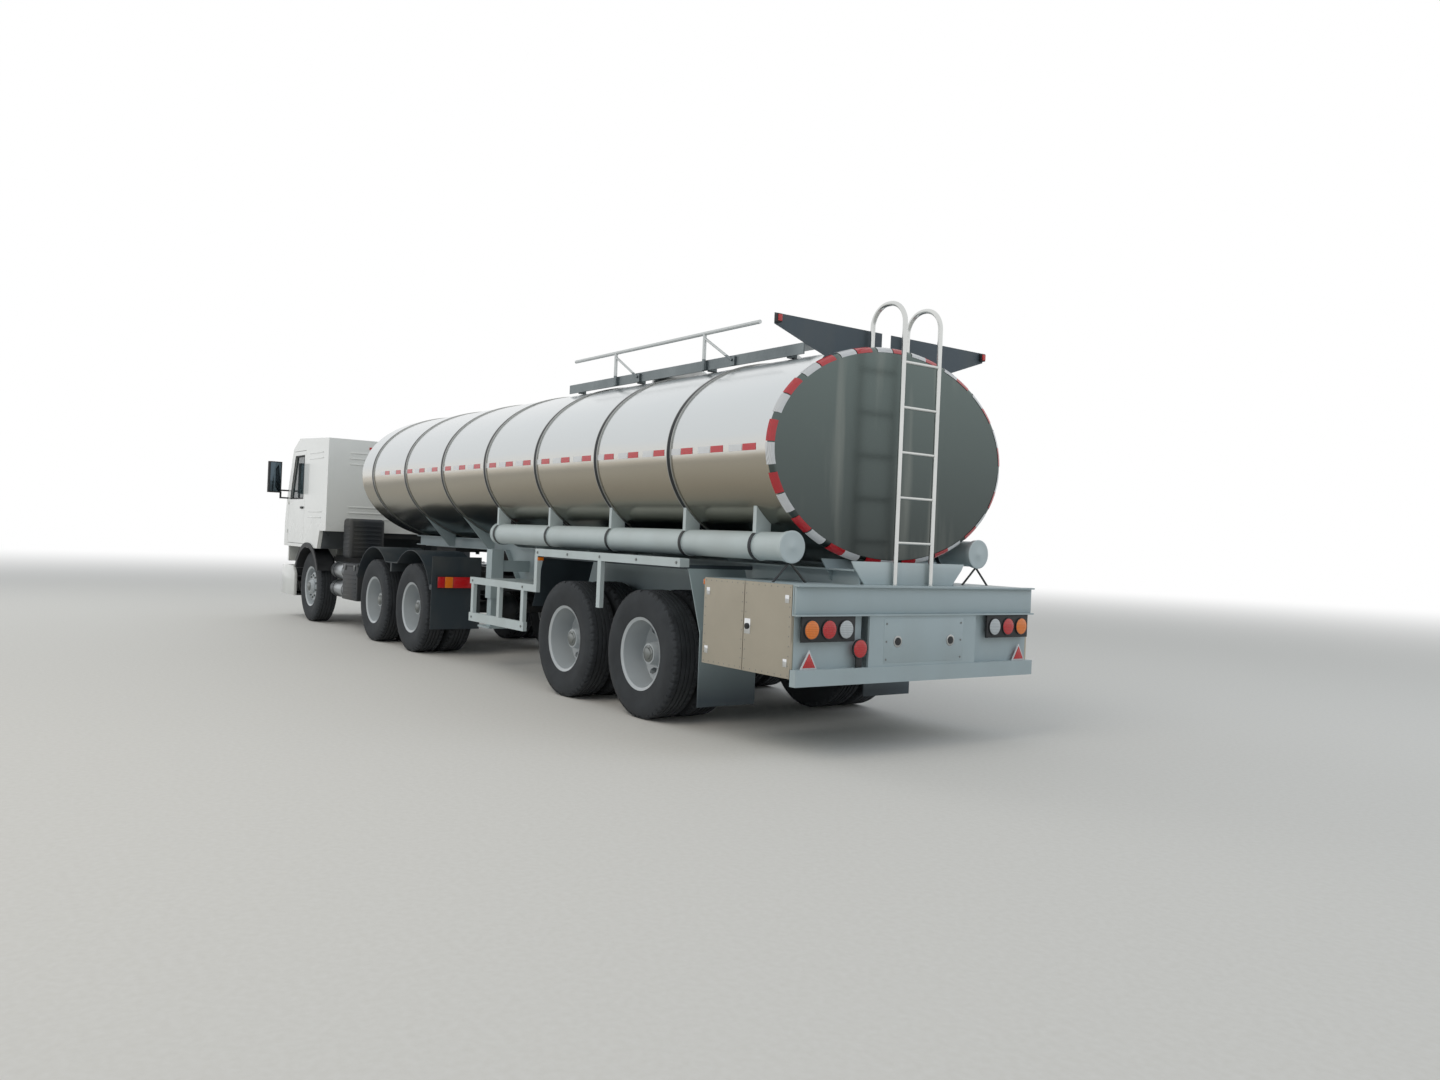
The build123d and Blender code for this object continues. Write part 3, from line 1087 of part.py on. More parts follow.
# Seats, bunk, dashboard and steering wheel.
with BuildPart() as cab_interior:
    for seat_y in (-620, 620):
        block(11950, 12450, seat_y - 260, seat_y + 260, 1500, 1640)
        block(11900, 12020, seat_y - 250, seat_y + 250, 1640, 2300)
        block(12050, 12350, seat_y - 150, seat_y + 150, CAB_FLOOR + CAB_WALL, 1500)
    block(CAB_REAR + CAB_WALL, 11600, -1100, 1100, CAB_REAR_FLOOR + CAB_WALL, 1650)
    dash = [
        (CAB_FRONT - CAB_WALL - PANEL_GAP, CAB_FLOOR + CAB_WALL),
        (12900, CAB_FLOOR + CAB_WALL),
        (12650, 1600),
        (12620, 1850),
        (12930, 1900),
        (CAB_FRONT - CAB_WALL - PANEL_GAP, 1480),
    ]
    side_plate(dash, -1100, 1100)
save(cab_interior.part, "cab_interior")

# Mirrors on arms from the front pillars.
with BuildPart() as mirrors:
    for side_name, side in SIDES:
        glass = sorted((side * 1330, side * 1540))
        arm = sorted((side * (CAB_HALF_WIDTH + SEAT), side * 1400))
        block(12930, 13030, glass[0], glass[1], 1980, 2480)
    fillet(mirrors.edges().filter_by(Axis.Z), radius=35)
    for side_name, side in SIDES:
        arm = sorted((side * (CAB_HALF_WIDTH + SEAT), side * 1350))
        for arm_z in (1900, 2020):
            block(12935, 12965, arm[0], arm[1], arm_z - 12, arm_z + 12)
        post = sorted((side * 1330, side * 1354))
        block(12935, 12965, post[0], post[1], 1888, 2000)
save(mirrors.part, "mirrors")
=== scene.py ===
"""Dresses the tanker truck: a finish for every CAD node, and the pieces too fine for the solids."""

import math
from functools import partial

import bmesh
import bpy
from mathutils import Matrix, Vector


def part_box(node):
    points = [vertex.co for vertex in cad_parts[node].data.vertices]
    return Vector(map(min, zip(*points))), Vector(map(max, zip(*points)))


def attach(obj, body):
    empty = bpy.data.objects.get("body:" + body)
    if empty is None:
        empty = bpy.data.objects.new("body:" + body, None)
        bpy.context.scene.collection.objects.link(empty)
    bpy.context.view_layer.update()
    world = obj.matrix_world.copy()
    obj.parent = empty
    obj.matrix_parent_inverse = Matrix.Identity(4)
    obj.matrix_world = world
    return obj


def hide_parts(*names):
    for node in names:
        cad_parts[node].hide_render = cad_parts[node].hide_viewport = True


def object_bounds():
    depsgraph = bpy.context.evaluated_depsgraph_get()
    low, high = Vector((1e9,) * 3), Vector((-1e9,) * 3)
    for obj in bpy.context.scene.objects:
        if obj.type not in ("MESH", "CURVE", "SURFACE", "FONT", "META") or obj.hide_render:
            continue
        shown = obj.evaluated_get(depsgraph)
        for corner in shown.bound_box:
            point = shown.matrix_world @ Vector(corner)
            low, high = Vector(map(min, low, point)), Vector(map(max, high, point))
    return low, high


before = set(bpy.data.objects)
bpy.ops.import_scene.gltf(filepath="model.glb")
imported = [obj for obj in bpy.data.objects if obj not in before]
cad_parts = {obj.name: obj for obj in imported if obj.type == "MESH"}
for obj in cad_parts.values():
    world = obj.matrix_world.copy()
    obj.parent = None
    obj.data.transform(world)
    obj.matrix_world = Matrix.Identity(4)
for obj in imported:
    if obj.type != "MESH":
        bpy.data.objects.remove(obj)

bl_info = {
    "name": "Tanker truck dresser",
    "version": (1, 0, 0),
    "blender": (4, 5, 0),
    "location": "View3D > Sidebar > Tanker",
    "description": "Adds finishes, tyres, tape, lamps and trim to the tanker truck's CAD frame",
    "category": "Object",
}

CAD_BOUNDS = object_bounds()
REAR = min(corner[0] for corner in CAD_BOUNDS)
SIDES = (("left", 1), ("right", -1))


def linear(code):
    """Linear colour of an sRGB hex value."""
    values = [int(code[i : i + 2], 16) / 255 for i in (0, 2, 4)]
    return tuple(v / 12.92 if v <= 0.04045 else ((v + 0.055) / 1.055) ** 2.4 for v in values)


def rgba(colour):
    return (*colour, 1.0)


def fore(distance):
    """X of a place given as its distance forward of the rear bumper."""
    return REAR + distance


def centre(node):
    """Middle of a CAD node's box."""
    low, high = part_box(node)
    return (low + high) / 2


def wheels():
    """Each tyre's node, the name of its wheel, and its side as a word and a sign."""
    for node in sorted(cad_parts):
        if node.startswith("tyre_"):
            wheel = node.removeprefix("tyre_")
            yield node, wheel, *SIDES[0 if wheel.endswith("left") else 1]


# Settings that a user would change


class TankerSizes(bpy.types.PropertyGroup):
    tape_width: bpy.props.FloatProperty(
        name="Tape width", description="Height of the reflective tape", default=0.05, unit="LENGTH"
    )
    tape_patch: bpy.props.FloatProperty(
        name="Tape patch", description="Length of one red or white patch", default=0.16, unit="LENGTH"
    )
    tape_pitch: bpy.props.FloatProperty(
        name="Tape pitch", description="From one red patch to the next", default=0.4, unit="LENGTH"
    )
    tread_blocks: bpy.props.IntProperty(
        name="Tread blocks", description="Shoulder blocks round each tyre", default=48, min=12
    )
    groove_depth: bpy.props.FloatProperty(
        name="Groove depth", description="Depth of the tyres' grooves", default=0.012, unit="LENGTH"
    )
    wheel_nuts: bpy.props.IntProperty(name="Wheel nuts", description="Nuts round each hub", default=10, min=5)


class TankerColours(bpy.types.PropertyGroup):
    cab: bpy.props.FloatVectorProperty(
        name="Cab", description="Gloss paint of the cab", subtype="COLOR", default=linear("E4E6E3")
    )
    trailer: bpy.props.FloatVectorProperty(
        name="Trailer", description="Satin paint of the trailer's steelwork", subtype="COLOR",
        default=linear("A3B1B4"),
    )
    slate: bpy.props.FloatVectorProperty(
        name="Sheet guards", description="Paint of the mudguards and splash plate", subtype="COLOR",
        default=linear("414D55"),
    )
    chassis: bpy.props.FloatVectorProperty(
        name="Tractor chassis", description="Paint of the tractor's frame", subtype="COLOR",
        default=linear("23282D"),
    )


# Materials


def add_node(tree, kind, inputs=None, output=0, **settings):
    """Add a shader node with its settings, values (colours as hex) and links; give back one output."""
    node = tree.nodes.new("ShaderNode" + kind)
    for key, value in settings.items():
        setattr(node, key, value)
    for key, value in (inputs or {}).items():
        if isinstance(value, bpy.types.NodeSocket):
            tree.links.new(value, node.inputs[key])
        else:
            node.inputs[key].default_value = rgba(linear(value)) if isinstance(value, str) else value
    return node.outputs[output] if len(node.outputs) else None


def start(name):
    """A new node material, the function that adds nodes to it, and Object coordinates in metres."""
    material = bpy.data.materials.new(name)
    material.use_nodes = True
    material.node_tree.nodes.clear()
    add = partial(add_node, material.node_tree)
    return material, add, add("TexCoord", output="Object")


def finish(name, recipe, *values):
    """A node material round the shader inputs that a recipe gives; its hex values are colours."""
    material, add, place = start(name)
    values = [linear(value) if isinstance(value, str) else value for value in values]
    add("OutputMaterial", {"Surface": add("BsdfPrincipled", recipe(add, place, *values))})
    return material


ROAD_FILM = linear("7C7668")
FINISHES = {}


def painted(add, place, colour, roughness, film_share, coat=0.0):
    """Sprayed paint: a soft orange peel, patchy gloss, and road film in broad clouds that run down."""
    runs = add("Mapping", {"Vector": place, "Scale": (1.6, 1.6, 0.7)})
    clouds = add("TexNoise", {"Vector": runs, "Scale": 1.7, "Detail": 6.0})
    limits = {"From Min": 0.42, "From Max": 0.78, "To Max": film_share}
    share = add("MapRange", {"Value": clouds, **limits})
    body = add("Mix", {0: share, 6: rgba(colour), 7: rgba(ROAD_FILM)}, 2, data_type="RGBA")
    limits = {"To Min": roughness - 0.06, "To Max": roughness + 0.14}
    gloss = add("MapRange", {"Value": clouds, **limits})
    skin = add("TexNoise", {"Vector": place, "Scale": 160.0, "Detail": 2.0})
    relief = add("Bump", {"Height": skin, "Distance": 0.0003})
    return {"Base Color": body, "Roughness": gloss, "Normal": relief, "Coat Weight": coat}


def metal(add, place, colour, roughness, grain, grain_depth, shade):
    """Bare metal: clouds from handling and weather, and a drawn or brushed grain along one axis."""
    clouds = add("TexNoise", {"Vector": place, "Scale": 2.2, "Detail": 5.0})
    share = add("MapRange", {"Value": clouds, "From Min": 0.3, "From Max": 0.7})
    dull = tuple(v * (1 - shade) for v in colour)
    body = add("Mix", {0: share, 6: rgba(dull), 7: rgba(colour)}, 2, data_type="RGBA")
    limits = {"To Min": roughness + 0.06, "To Max": max(0.02, roughness - 0.04)}
    gloss = add("MapRange", {"Value": clouds, **limits})
    drawn = add("Mapping", {"Vector": place, "Scale": grain})
    lines = add("TexNoise", {"Vector": drawn, "Scale": 1.0, "Detail": 2.0})
    relief = add("Bump", {"Height": lines, "Distance": grain_depth})
    return {"Base Color": body, "Roughness": gloss, "Normal": relief, "Metallic": 1.0}


def moulded(add, place, colour, roughness, pebble, depth):
    """Moulded plastic or rubber: an even pebble grain and a little pale bloom."""
    clouds = add("TexNoise", {"Vector": place, "Scale": 5.0, "Detail": 4.0})
    share = add("MapRange", {"Value": clouds, "From Min": 0.35, "From Max": 0.75})
    bloom = tuple(min(1, v * 1.5 + 0.006) for v in colour)
    body = add("Mix", {0: share, 6: rgba(colour), 7: rgba(bloom)}, 2, data_type="RGBA")
    limits = {"To Min": roughness - 0.08, "To Max": roughness + 0.08}
    gloss = add("MapRange", {"Value": clouds, **limits})
    grain = add("TexNoise", {"Vector": place, "Scale": pebble, "Detail": 2.0})
    relief = add("Bump", {"Height": grain, "Distance": depth})
    return {"Base Color": body, "Roughness": gloss, "Normal": relief}


def lens(add, place, colour, ribs, painted_glow):
    """Injection-moulded acrylic lens, with fine crossed ribs on its inner face that catch daylight."""
    waves = {"Vector": place, "Scale": ribs}
    across = add("TexWave", waves, "Fac", bands_direction="Y")
    upright = add("TexWave", waves, "Fac", bands_direction="Z")
    net = add("Math", {0: across, 1: upright}, operation="MULTIPLY")
    shade = tuple(v * 0.5 for v in colour)
    body = add("Mix", {0: net, 6: rgba(shade), 7: rgba(colour)}, 2, data_type="RGBA")
    relief = add("Bump", {"Height": net, "Distance": 0.0008})
    return {
        "Base Color": body, "Normal": relief, "Roughness": 0.12, "Coat Weight": 0.5,
        # Painted glow: no light sits behind these lenses, reflectors and tapes
        "Emission Color": rgba(colour), "Emission Strength": painted_glow,
    }


# Heights on the tank's cladding, as shares from belly to crown, and the colour that each shows: a painted
# reflection of the sky above the tape line, and of the road and the shade under the truck below it
PAINTED_CLADDING_REFLECTION = (
    (0.00, "3F4A4C"), (0.10, "5C696A"), (0.20, "86857A"), (0.34, "A69E8E"), (0.46, "B5AEA0"),
    (0.485, "CFCEC8"), (0.56, "C9CDCE"), (0.76, "CDD2D4"), (1.00, "D6DADB"),
)
END_DEPTH = 0.035


def clad_steel(add, place):
    """Mirror-rolled stainless cladding: pale above the tape line as a painted reflection of the sky, and
    below it warm and darkening towards the belly, as a painted reflection of the road and of the shade under
    the truck.
    The rear end is dull rolled plate, with faint streaks of painted reflection."""
    low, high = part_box("tank_shell")
    height = add("SeparateXYZ", {"Vector": place}, "Z")
    along = height.node.outputs["X"]
    ripple = add("Mapping", {"Vector": place, "Scale": (0.9, 3.0, 3.0)})
    waves = add("TexNoise", {"Vector": ripple, "Scale": 1.0, "Detail": 3.0})
    drift = add("MapRange", {"Value": waves, "To Min": -0.03, "To Max": 0.03})
    level = add("Math", {0: height, 1: drift}, operation="ADD")
    share = add("MapRange", {"Value": level, "From Min": low.z, "From Max": high.z})
    # Painted reflection: this ramp by height stands for the sky above the tape line and the road below it
    barrel = add("ValToRGB", {"Fac": share})
    elements = barrel.node.color_ramp.elements
    for index, (position, code) in enumerate(PAINTED_CLADDING_REFLECTION):
        element = elements[index] if index < 2 else elements.new(position)
        element.position = position
        element.color = rgba(linear(code))
    # The rear plate: cool grey, darker low down, with faint upright streaks of painted reflection
    streak_stretch = add("Mapping", {"Vector": place, "Scale": (1.0, 2.6, 0.25)})
    painted_reflection_streaks = add("TexNoise", {"Vector": streak_stretch, "Scale": 1.6, "Detail": 3.0})
    painted_reflection_shine = add("MapRange", {"Value": painted_reflection_streaks, "From Min": 0.55, "From Max": 0.75, "To Max": 0.4})
    fade = add("Mix", {0: share, 6: "454A49", 7: "66716F"}, 2, data_type="RGBA")
    plate = add("Mix", {0: painted_reflection_shine, 6: fade, 7: "979A94"}, 2, data_type="RGBA")
    edge = {"From Min": low.x + END_DEPTH - 0.004, "From Max": low.x + END_DEPTH}
    forward = add("MapRange", {"Value": along, **edge})
    body = add("Mix", {0: forward, 6: plate, 7: barrel}, 2, data_type="RGBA")
    gloss = add("MapRange", {"Value": forward, "To Min": 0.27, "To Max": 0.20})
    relief = add("Bump", {"Height": waves, "Distance": 0.004, "Strength": 0.6})
    return {"Base Color": body, "Roughness": gloss, "Normal": relief, "Metallic": 1.0}


FIRST_BAND = 1.677
BAND_PITCH = 1.180
BAND_HALF = 0.030


def band_steel(add, place):
    """Rolled stainless bands over the cladding's joints: dark all over as painted shade, in cloudy tones, and
    bright along their edges."""
    along = add("SeparateXYZ", {"Vector": place}, "X")
    limits = {1: BAND_PITCH / 2, 2: -BAND_PITCH / 2}
    offset = add("Math", {0: along, 1: -fore(FIRST_BAND)}, operation="ADD")
    wrapped = add("Math", {0: offset, **limits}, operation="WRAP")
    reach = add("Math", {0: wrapped}, operation="ABSOLUTE")
    rim = {"From Min": BAND_HALF - 0.009, "From Max": BAND_HALF - 0.005}
    edge = add("MapRange", {"Value": reach, **rim})
    dirt_and_shade = add("TexNoise", {"Vector": place, "Scale": 5.0, "Detail": 5.0})
    # Painted shade: these dark tones stand for the shade on the bands, not for the steel's own colour
    middle = add("Mix", {0: dirt_and_shade, 6: "1E2022", 7: "3C4042"}, 2, data_type="RGBA")
    body = add("Mix", {0: edge, 6: middle, 7: "B4B5B2"}, 2, data_type="RGBA")
    gloss = add("MapRange", {"Value": dirt_and_shade, "To Min": 0.3, "To Max": 0.5})
    relief = add("Bump", {"Height": dirt_and_shade, "Distance": 0.001})
    return {"Base Color": body, "Roughness": gloss, "Normal": relief, "Metallic": 1.0}


def walkway_plate(add, place):
    """Pressed aluminium tread plate with bars 30 mm apart, greyed by boots; its rails are plain tube."""
    height = add("SeparateXYZ", {"Vector": place}, "Z")
    rail = add("MapRange", {"Value": height, "From Min": 3.095, "From Max": 3.100})
    clouds = add("TexNoise", {"Vector": place, "Scale": 3.0, "Detail": 4.0})
    sheet = add("Mix", {0: clouds, 6: "5C6467", 7: "90989A"}, 2, data_type="RGBA")
    body = add("Mix", {0: rail, 6: sheet, 7: "C4C8C8"}, 2, data_type="RGBA")
    slanted = add("Mapping", {"Vector": place, "Rotation": (0, 0, math.radians(45))})
    bars = add("TexChecker", {"Vector": slanted, "Scale": 33.0}, "Fac")
    relief = add("Bump", {"Height": bars, "Distance": 0.0015})
    return {"Base Color": body, "Normal": relief, "Metallic": 1.0, "Roughness": 0.38}


SKIRT_FRONT = 1.475
SKIRT_FOOT = 0.25


def skirt_enamel(add, place):
    """Enamelled mudguard sheet: pale on the rear skirt, where the rear steelwork's paint carries over, and
    dark slate over the wheels as painted shade inside the guard, and on the rubber flap as its own colour."""
    height = add("SeparateXYZ", {"Vector": place}, "Z")
    along = height.node.outputs["X"]
    behind = add("Math", {0: along, 1: fore(SKIRT_FRONT)}, operation="LESS_THAN")
    rise = {"From Min": SKIRT_FOOT, "From Max": SKIRT_FOOT + 0.45}
    above = add("MapRange", {"Value": height, **rise})
    share = add("Math", {0: behind, 1: above}, operation="MULTIPLY")
    clouds = add("TexNoise", {"Vector": place, "Scale": 3.0, "Detail": 5.0})
    # Dark slate: painted shade inside the guard over the wheels, and the rubber flap's own colour
    slate = add("Mix", {0: clouds, 6: "2B353C", 7: "465259"}, 2, data_type="RGBA")
    body = add("Mix", {0: share, 6: slate, 7: "98A6A8"}, 2, data_type="RGBA")
    gloss = add("MapRange", {"Value": clouds, "To Min": 0.42, "To Max": 0.62})
    skin = add("TexNoise", {"Vector": place, "Scale": 160.0})
    relief = add("Bump", {"Height": skin, "Distance": 0.0003})
    return {"Base Color": body, "Roughness": gloss, "Normal": relief}


LINING_HALF = 1.165
LINING_REAR = 10.915
LINING_FRONT = 12.60
LINING_TOP = 2.72


def cab_paint(add, place, colour):
    """Gloss two-coat white, dusty low down, with grey moulded lining on the cab's inner walls."""
    height = add("SeparateXYZ", {"Vector": place}, "Z")
    along = height.node.outputs["X"]
    aside = add("Math", {0: height.node.outputs["Y"]}, operation="ABSOLUTE")
    narrow = add("Math", {0: aside, 1: LINING_HALF}, operation="LESS_THAN")
    ahead = add("Math", {0: along, 1: fore(LINING_REAR)}, operation="GREATER_THAN")
    behind = add("Math", {0: along, 1: fore(LINING_FRONT)}, operation="LESS_THAN")
    under = add("Math", {0: height, 1: LINING_TOP}, operation="LESS_THAN")
    length = add("Math", {0: ahead, 1: behind}, operation="MULTIPLY")
    section = add("Math", {0: narrow, 1: under}, operation="MULTIPLY")
    lining = add("Math", {0: length, 1: section}, operation="MULTIPLY")
    runs = add("Mapping", {"Vector": place, "Scale": (2.0, 2.0, 0.6)})
    clouds = add("TexNoise", {"Vector": runs, "Scale": 2.0, "Detail": 6.0})
    low_down = add("MapRange", {"Value": height, "From Min": 2.0, "From Max": 1.1, "To Max": 0.30})
    film = add("Math", {0: low_down, 1: clouds}, operation="MULTIPLY")
    outside = add("Mix", {0: film, 6: rgba(colour), 7: "A9A498"}, 2, data_type="RGBA")
    body = add("Mix", {0: lining, 6: outside, 7: "4B4F51"}, 2, data_type="RGBA")
    gloss = add("MapRange", {"Value": film, "From Max": 0.3, "To Min": 0.2, "To Max": 0.45})
    skin = add("TexNoise", {"Vector": place, "Scale": 160.0})
    relief = add("Bump", {"Height": skin, "Distance": 0.0001})
    return {"Base Color": body, "Roughness": gloss, "Normal": relief, "Coat Weight": 0.6}


def tinted_glass(add, place):
    """Tempered, lightly tinted float glass with a faint haze."""
    haze = add("TexNoise", {"Vector": place, "Scale": 3.0, "Detail": 2.0})
    body = add("Mix", {0: haze, 6: "5E6C6F", 7: "7A898C"}, 2, data_type="RGBA")
    gloss = add("MapRange", {"Value": haze, "To Min": 0.01, "To Max": 0.06})
    return {"Base Color": body, "Roughness": gloss, "Transmission Weight": 0.85, "IOR": 1.45}


def woven_cloth(add, place):
    """Flat-woven seat cloth: a cross weave, drawn at 8 mm so that it shows, with a soft sheen."""
    waves = {"Vector": place, "Scale": 40.0}
    warp = add("TexWave", waves, "Fac", bands_direction="X")
    weft = add("TexWave", waves, "Fac", bands_direction="Z")
    weave = add("Math", {0: warp, 1: weft}, operation="MULTIPLY")
    body = add("Mix", {0: weave, 6: "2B2F32", 7: "596065"}, 2, data_type="RGBA")
    relief = add("Bump", {"Height": weave, "Distance": 0.0008})
    return {"Base Color": body, "Normal": relief, "Roughness": 0.9, "Sheen Weight": 0.3}


def make_finishes(colours):
    """Make every finish, from its short name, full name, recipe and the recipe's values."""
    rows = {
        "clad": ("mirror_rolled_stainless_cladding", clad_steel),
        "band": ("weathered_stainless_band", band_steel),
        "walkway": ("pressed_aluminium_tread_plate", walkway_plate),
        "skirt": ("mudguard_enamel", skirt_enamel),
        "cab": ("gloss_white_two_coat_paint", cab_paint, colours.cab),
        "glass": ("tinted_tempered_glass", tinted_glass),
        "cloth": ("woven_seat_cloth", woven_cloth),
        # Brushed stainless of the cabinets' doors, warm where it shows the road
        "brushed": ("brushed_stainless_sheet", metal, "B5AE9F", 0.40, (4, 4, 260), 0.0002, 0.12),
        "fitting": ("polished_stainless_fitting", metal, "B4B6B5", 0.26, (60, 60, 60), 0.0002, 0.2),
        # Bright drawn tube of the ladder
        "tube": ("polished_stainless_tube", metal, "D6D8D6", 0.18, (8, 8, 200), 0.0001, 0.12),
        "chrome": ("bright_chrome_plate", metal, "DCDEDF", 0.08, (40, 40, 40), 0.00005, 0.08),
        "aluminium": ("spun_aluminium", metal, "B2B7BA", 0.3, (200, 6, 6), 0.0002, 0.16),
        "rim": ("silver_wheel_enamel", painted, "B3B9BC", 0.32, 0.12, 0.3),
        "nut": ("zinc_plated_nut", metal, "8C908F", 0.32, (80, 80, 80), 0.0002, 0.3),
        "iron": ("painted_cast_iron", metal, "4A4D4E", 0.55, (60, 60, 60), 0.0012, 0.4),
        # Dark, because a mirror's face shows the unlit road behind the cab
        "mirror": ("silvered_mirror_glass", metal, "56636B", 0.06, (20, 20, 20), 0.00002, 0.1),
        "trailer": ("satin_grey_enamel", painted, colours.trailer, 0.40, 0.14),
        "pale": ("satin_pale_grey_enamel", painted, "BDC8C9", 0.40, 0.14),
        "slate": ("slate_grey_enamel", painted, colours.slate, 0.48, 0.2),
        "fender": ("dark_grey_fender_enamel", painted, "2B353C", 0.5, 0.2),
        "chassis": ("chassis_black_enamel", painted, colours.chassis, 0.5, 0.22),
        "trim": ("grained_black_polypropylene", moulded, "1B1D1F", 0.55, 900.0, 0.0002),
        "seal": ("black_rubber_seal", moulded, "101112", 0.6, 700.0, 0.0001),
        # Carbon-black tyre rubber, greyed by the road dust in its pores
        "tyre": ("road_dusted_tyre_rubber", moulded, "2A2D30", 0.82, 600.0, 0.0004),
        # Lenses and tapes: colour, the ribs' scale, then the strength of a painted glow
        "red": ("red_acrylic_lens", lens, "C4161B", 26.0, 0.15),
        "amber": ("amber_acrylic_lens", lens, "E27612", 26.0, 0.2),
        "clear": ("clear_acrylic_lens", lens, "CDD4D6", 26.0, 0.05),
        # Prismatic tape, with its honeycomb drawn at 12 mm so that it shows
        "tape_red": ("red_prismatic_tape", lens, "C91C29", 40.0, 0.1),
        "tape_white": ("white_prismatic_tape", lens, "DDE0E2", 40.0, 0.12),
    }
    FINISHES.update({name: finish(*row) for name, row in rows.items()})


# CAD nodes by the finish that they get
NODE_FINISHES = {
    "clad": ("tank_shell",),
    "band": ("tank_bands",),
    "walkway": ("walkway",),
    "brushed": ("cabinet_door_left_rear", "cabinet_door_left_front", "cabinet_door_right"),
    "fitting": ("manhole_lid", "tank_fittings"),
    "tube": ("rear_ladder",),
    "trailer": ("trailer_frame", "rear_beam", "landing_gear", "coupler_plate", "cabinets"),
    "pale": ("side_guards", "hose_tubes"),
    "slate": ("splash_plate",),
    "skirt": ("mudguards",),
    "fender": ("tractor_fenders",),
    "chassis": ("tractor_frame", "fifth_wheel", "trailer_axles", "drive_axles", "front_axle", "knuckle_left",
                "knuckle_right"),
    "iron": ("engine",),
    "aluminium": ("fuel_tank",),
    "trim": ("mirrors", "tractor_lamps"),
    "cab": ("cab_shell", "cab_door_left", "cab_door_right"),
    "glass": ("windscreen", "door_glass_left", "door_glass_right"),
}


# Modelling steps that the pieces share


def deselect():
    for obj in bpy.context.selected_objects:
        obj.select_set(False)


def edit(obj):
    """Open a mesh for editing with everything in it selected."""
    deselect()
    obj.select_set(True)
    bpy.context.view_layer.objects.active = obj
    bpy.ops.object.mode_set(mode="EDIT")
    bpy.ops.mesh.select_all(action="SELECT")


def pick(test):
    """Select the faces of the open mesh whose centre and normal pass a test."""
    mesh = bmesh.from_edit_mesh(bpy.context.edit_object.data)
    for face in mesh.faces:
        face.select_set(bool(test(face.calc_center_median(), face.normal)))
    mesh.select_flush_mode()
    bmesh.update_edit_mesh(bpy.context.edit_object.data)


def close():
    bpy.ops.object.mode_set(mode="OBJECT")
    return bpy.context.active_object


def join(parts):
    """Join parts into the first one."""
    deselect()
    for part in parts:
        part.select_set(True)
    bpy.context.view_layer.objects.active = parts[0]
    if len(parts) > 1:
        bpy.ops.object.join()
    return bpy.context.active_object


def settle(obj, name, finish):
    """Put a piece's place into its mesh, and give it its name and finish."""
    deselect()
    obj.select_set(True)
    bpy.context.view_layer.objects.active = obj
    bpy.ops.object.transform_apply(location=True, rotation=True, scale=True)
    bpy.ops.object.shade_smooth_by_angle(angle=math.radians(35))
    obj.name = name
    obj.data.name = name
    obj.data.materials.clear()
    obj.data.materials.append(FINISHES[finish])
    return obj


def fit(parts, name, finish, body):
    """Join parts into one finished piece that rides on a body."""
    piece = settle(join(parts), name, finish)
    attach(piece, body)
    return piece


def copy_at(obj, offset, turn=None):
    """A copy with its own mesh, turned about the origin and then moved."""
    twin = obj.copy()
    twin.data = obj.data.copy()
    bpy.context.scene.collection.objects.link(twin)
    matrix = Matrix.Translation(Vector(offset))
    if turn is not None:
        matrix = matrix @ turn
    twin.data.transform(matrix)
    return twin


def discard(*masters):
    for obj in masters:
        bpy.data.objects.remove(obj)


def facing(way):
    """The turn that makes a part modelled with its face to the left (+Y) look another way."""
    if way == "up":
        return Matrix.Rotation(math.pi / 2, 4, "X")
    return Matrix.Rotation(math.radians({"left": 0, "rear": 90, "right": 180, "front": -90}[way]), 4, "Z")


def polygon(points, fill="NOTHING"):
    """A closed ring of points, filled or not, left open for editing."""
    deselect()
    bpy.ops.mesh.primitive_circle_add(vertices=len(points), radius=1, fill_type=fill, location=(0, 0, 0))
    obj = bpy.context.active_object
    for vertex, point in zip(obj.data.vertices, points):
        vertex.co = point
    edit(obj)
    return obj


def turned(profile, steps):
    """A solid of revolution about the Y axis, from its closed section of (y, radius) points."""
    polygon([(0, y, radius) for y, radius in profile])
    bpy.ops.mesh.spin(steps=steps, angle=2 * math.pi, center=(0, 0, 0), axis=(0, 1, 0))
    bpy.ops.mesh.select_all(action="SELECT")
    bpy.ops.mesh.remove_doubles(threshold=0.00005)
    bpy.ops.mesh.delete_loose(use_verts=True, use_edges=True, use_faces=False)
    bpy.ops.mesh.select_all(action="SELECT")
    bpy.ops.mesh.normals_make_consistent(inside=False)
    return close()


def block(first, second, edge, segments=2):
    """A box between two opposite corners, its edges rounded off."""
    low = Vector(min(pair) for pair in zip(first, second))
    high = Vector(max(pair) for pair in zip(first, second))
    deselect()
    bpy.ops.mesh.primitive_cube_add(size=1, location=(0, 0, 0))
    obj = bpy.context.active_object
    obj.data.transform(Matrix.Translation((low + high) / 2) @ Matrix.Diagonal((*(high - low), 1)))
    edit(obj)
    bpy.ops.mesh.bevel(offset=edge, segments=segments, affect="EDGES")
    return close()


def bricks(rows, side=1):
    """Rounded boxes, each from two distances, two y, two z, its edge and its segments."""
    return [
        block((fore(rear), side * inner, low), (fore(front), side * outer, high), *edge)
        for rear, front, inner, outer, low, high, *edge in rows
    ]


def stack(count, pitch, rear, front, inner, outer, low, high, edge):
    """Rows for bricks that repeat one box upwards at an even pitch."""
    rises = [pitch * index for index in range(count)]
    return [(rear, front, inner, outer, low + rise, high + rise, edge) for rise in rises]


def mount(part, distance, y, z, way):
    """A copy at a distance from the rear bumper, its face looking one way."""
    return copy_at(part, (fore(distance), y, z), facing(way))


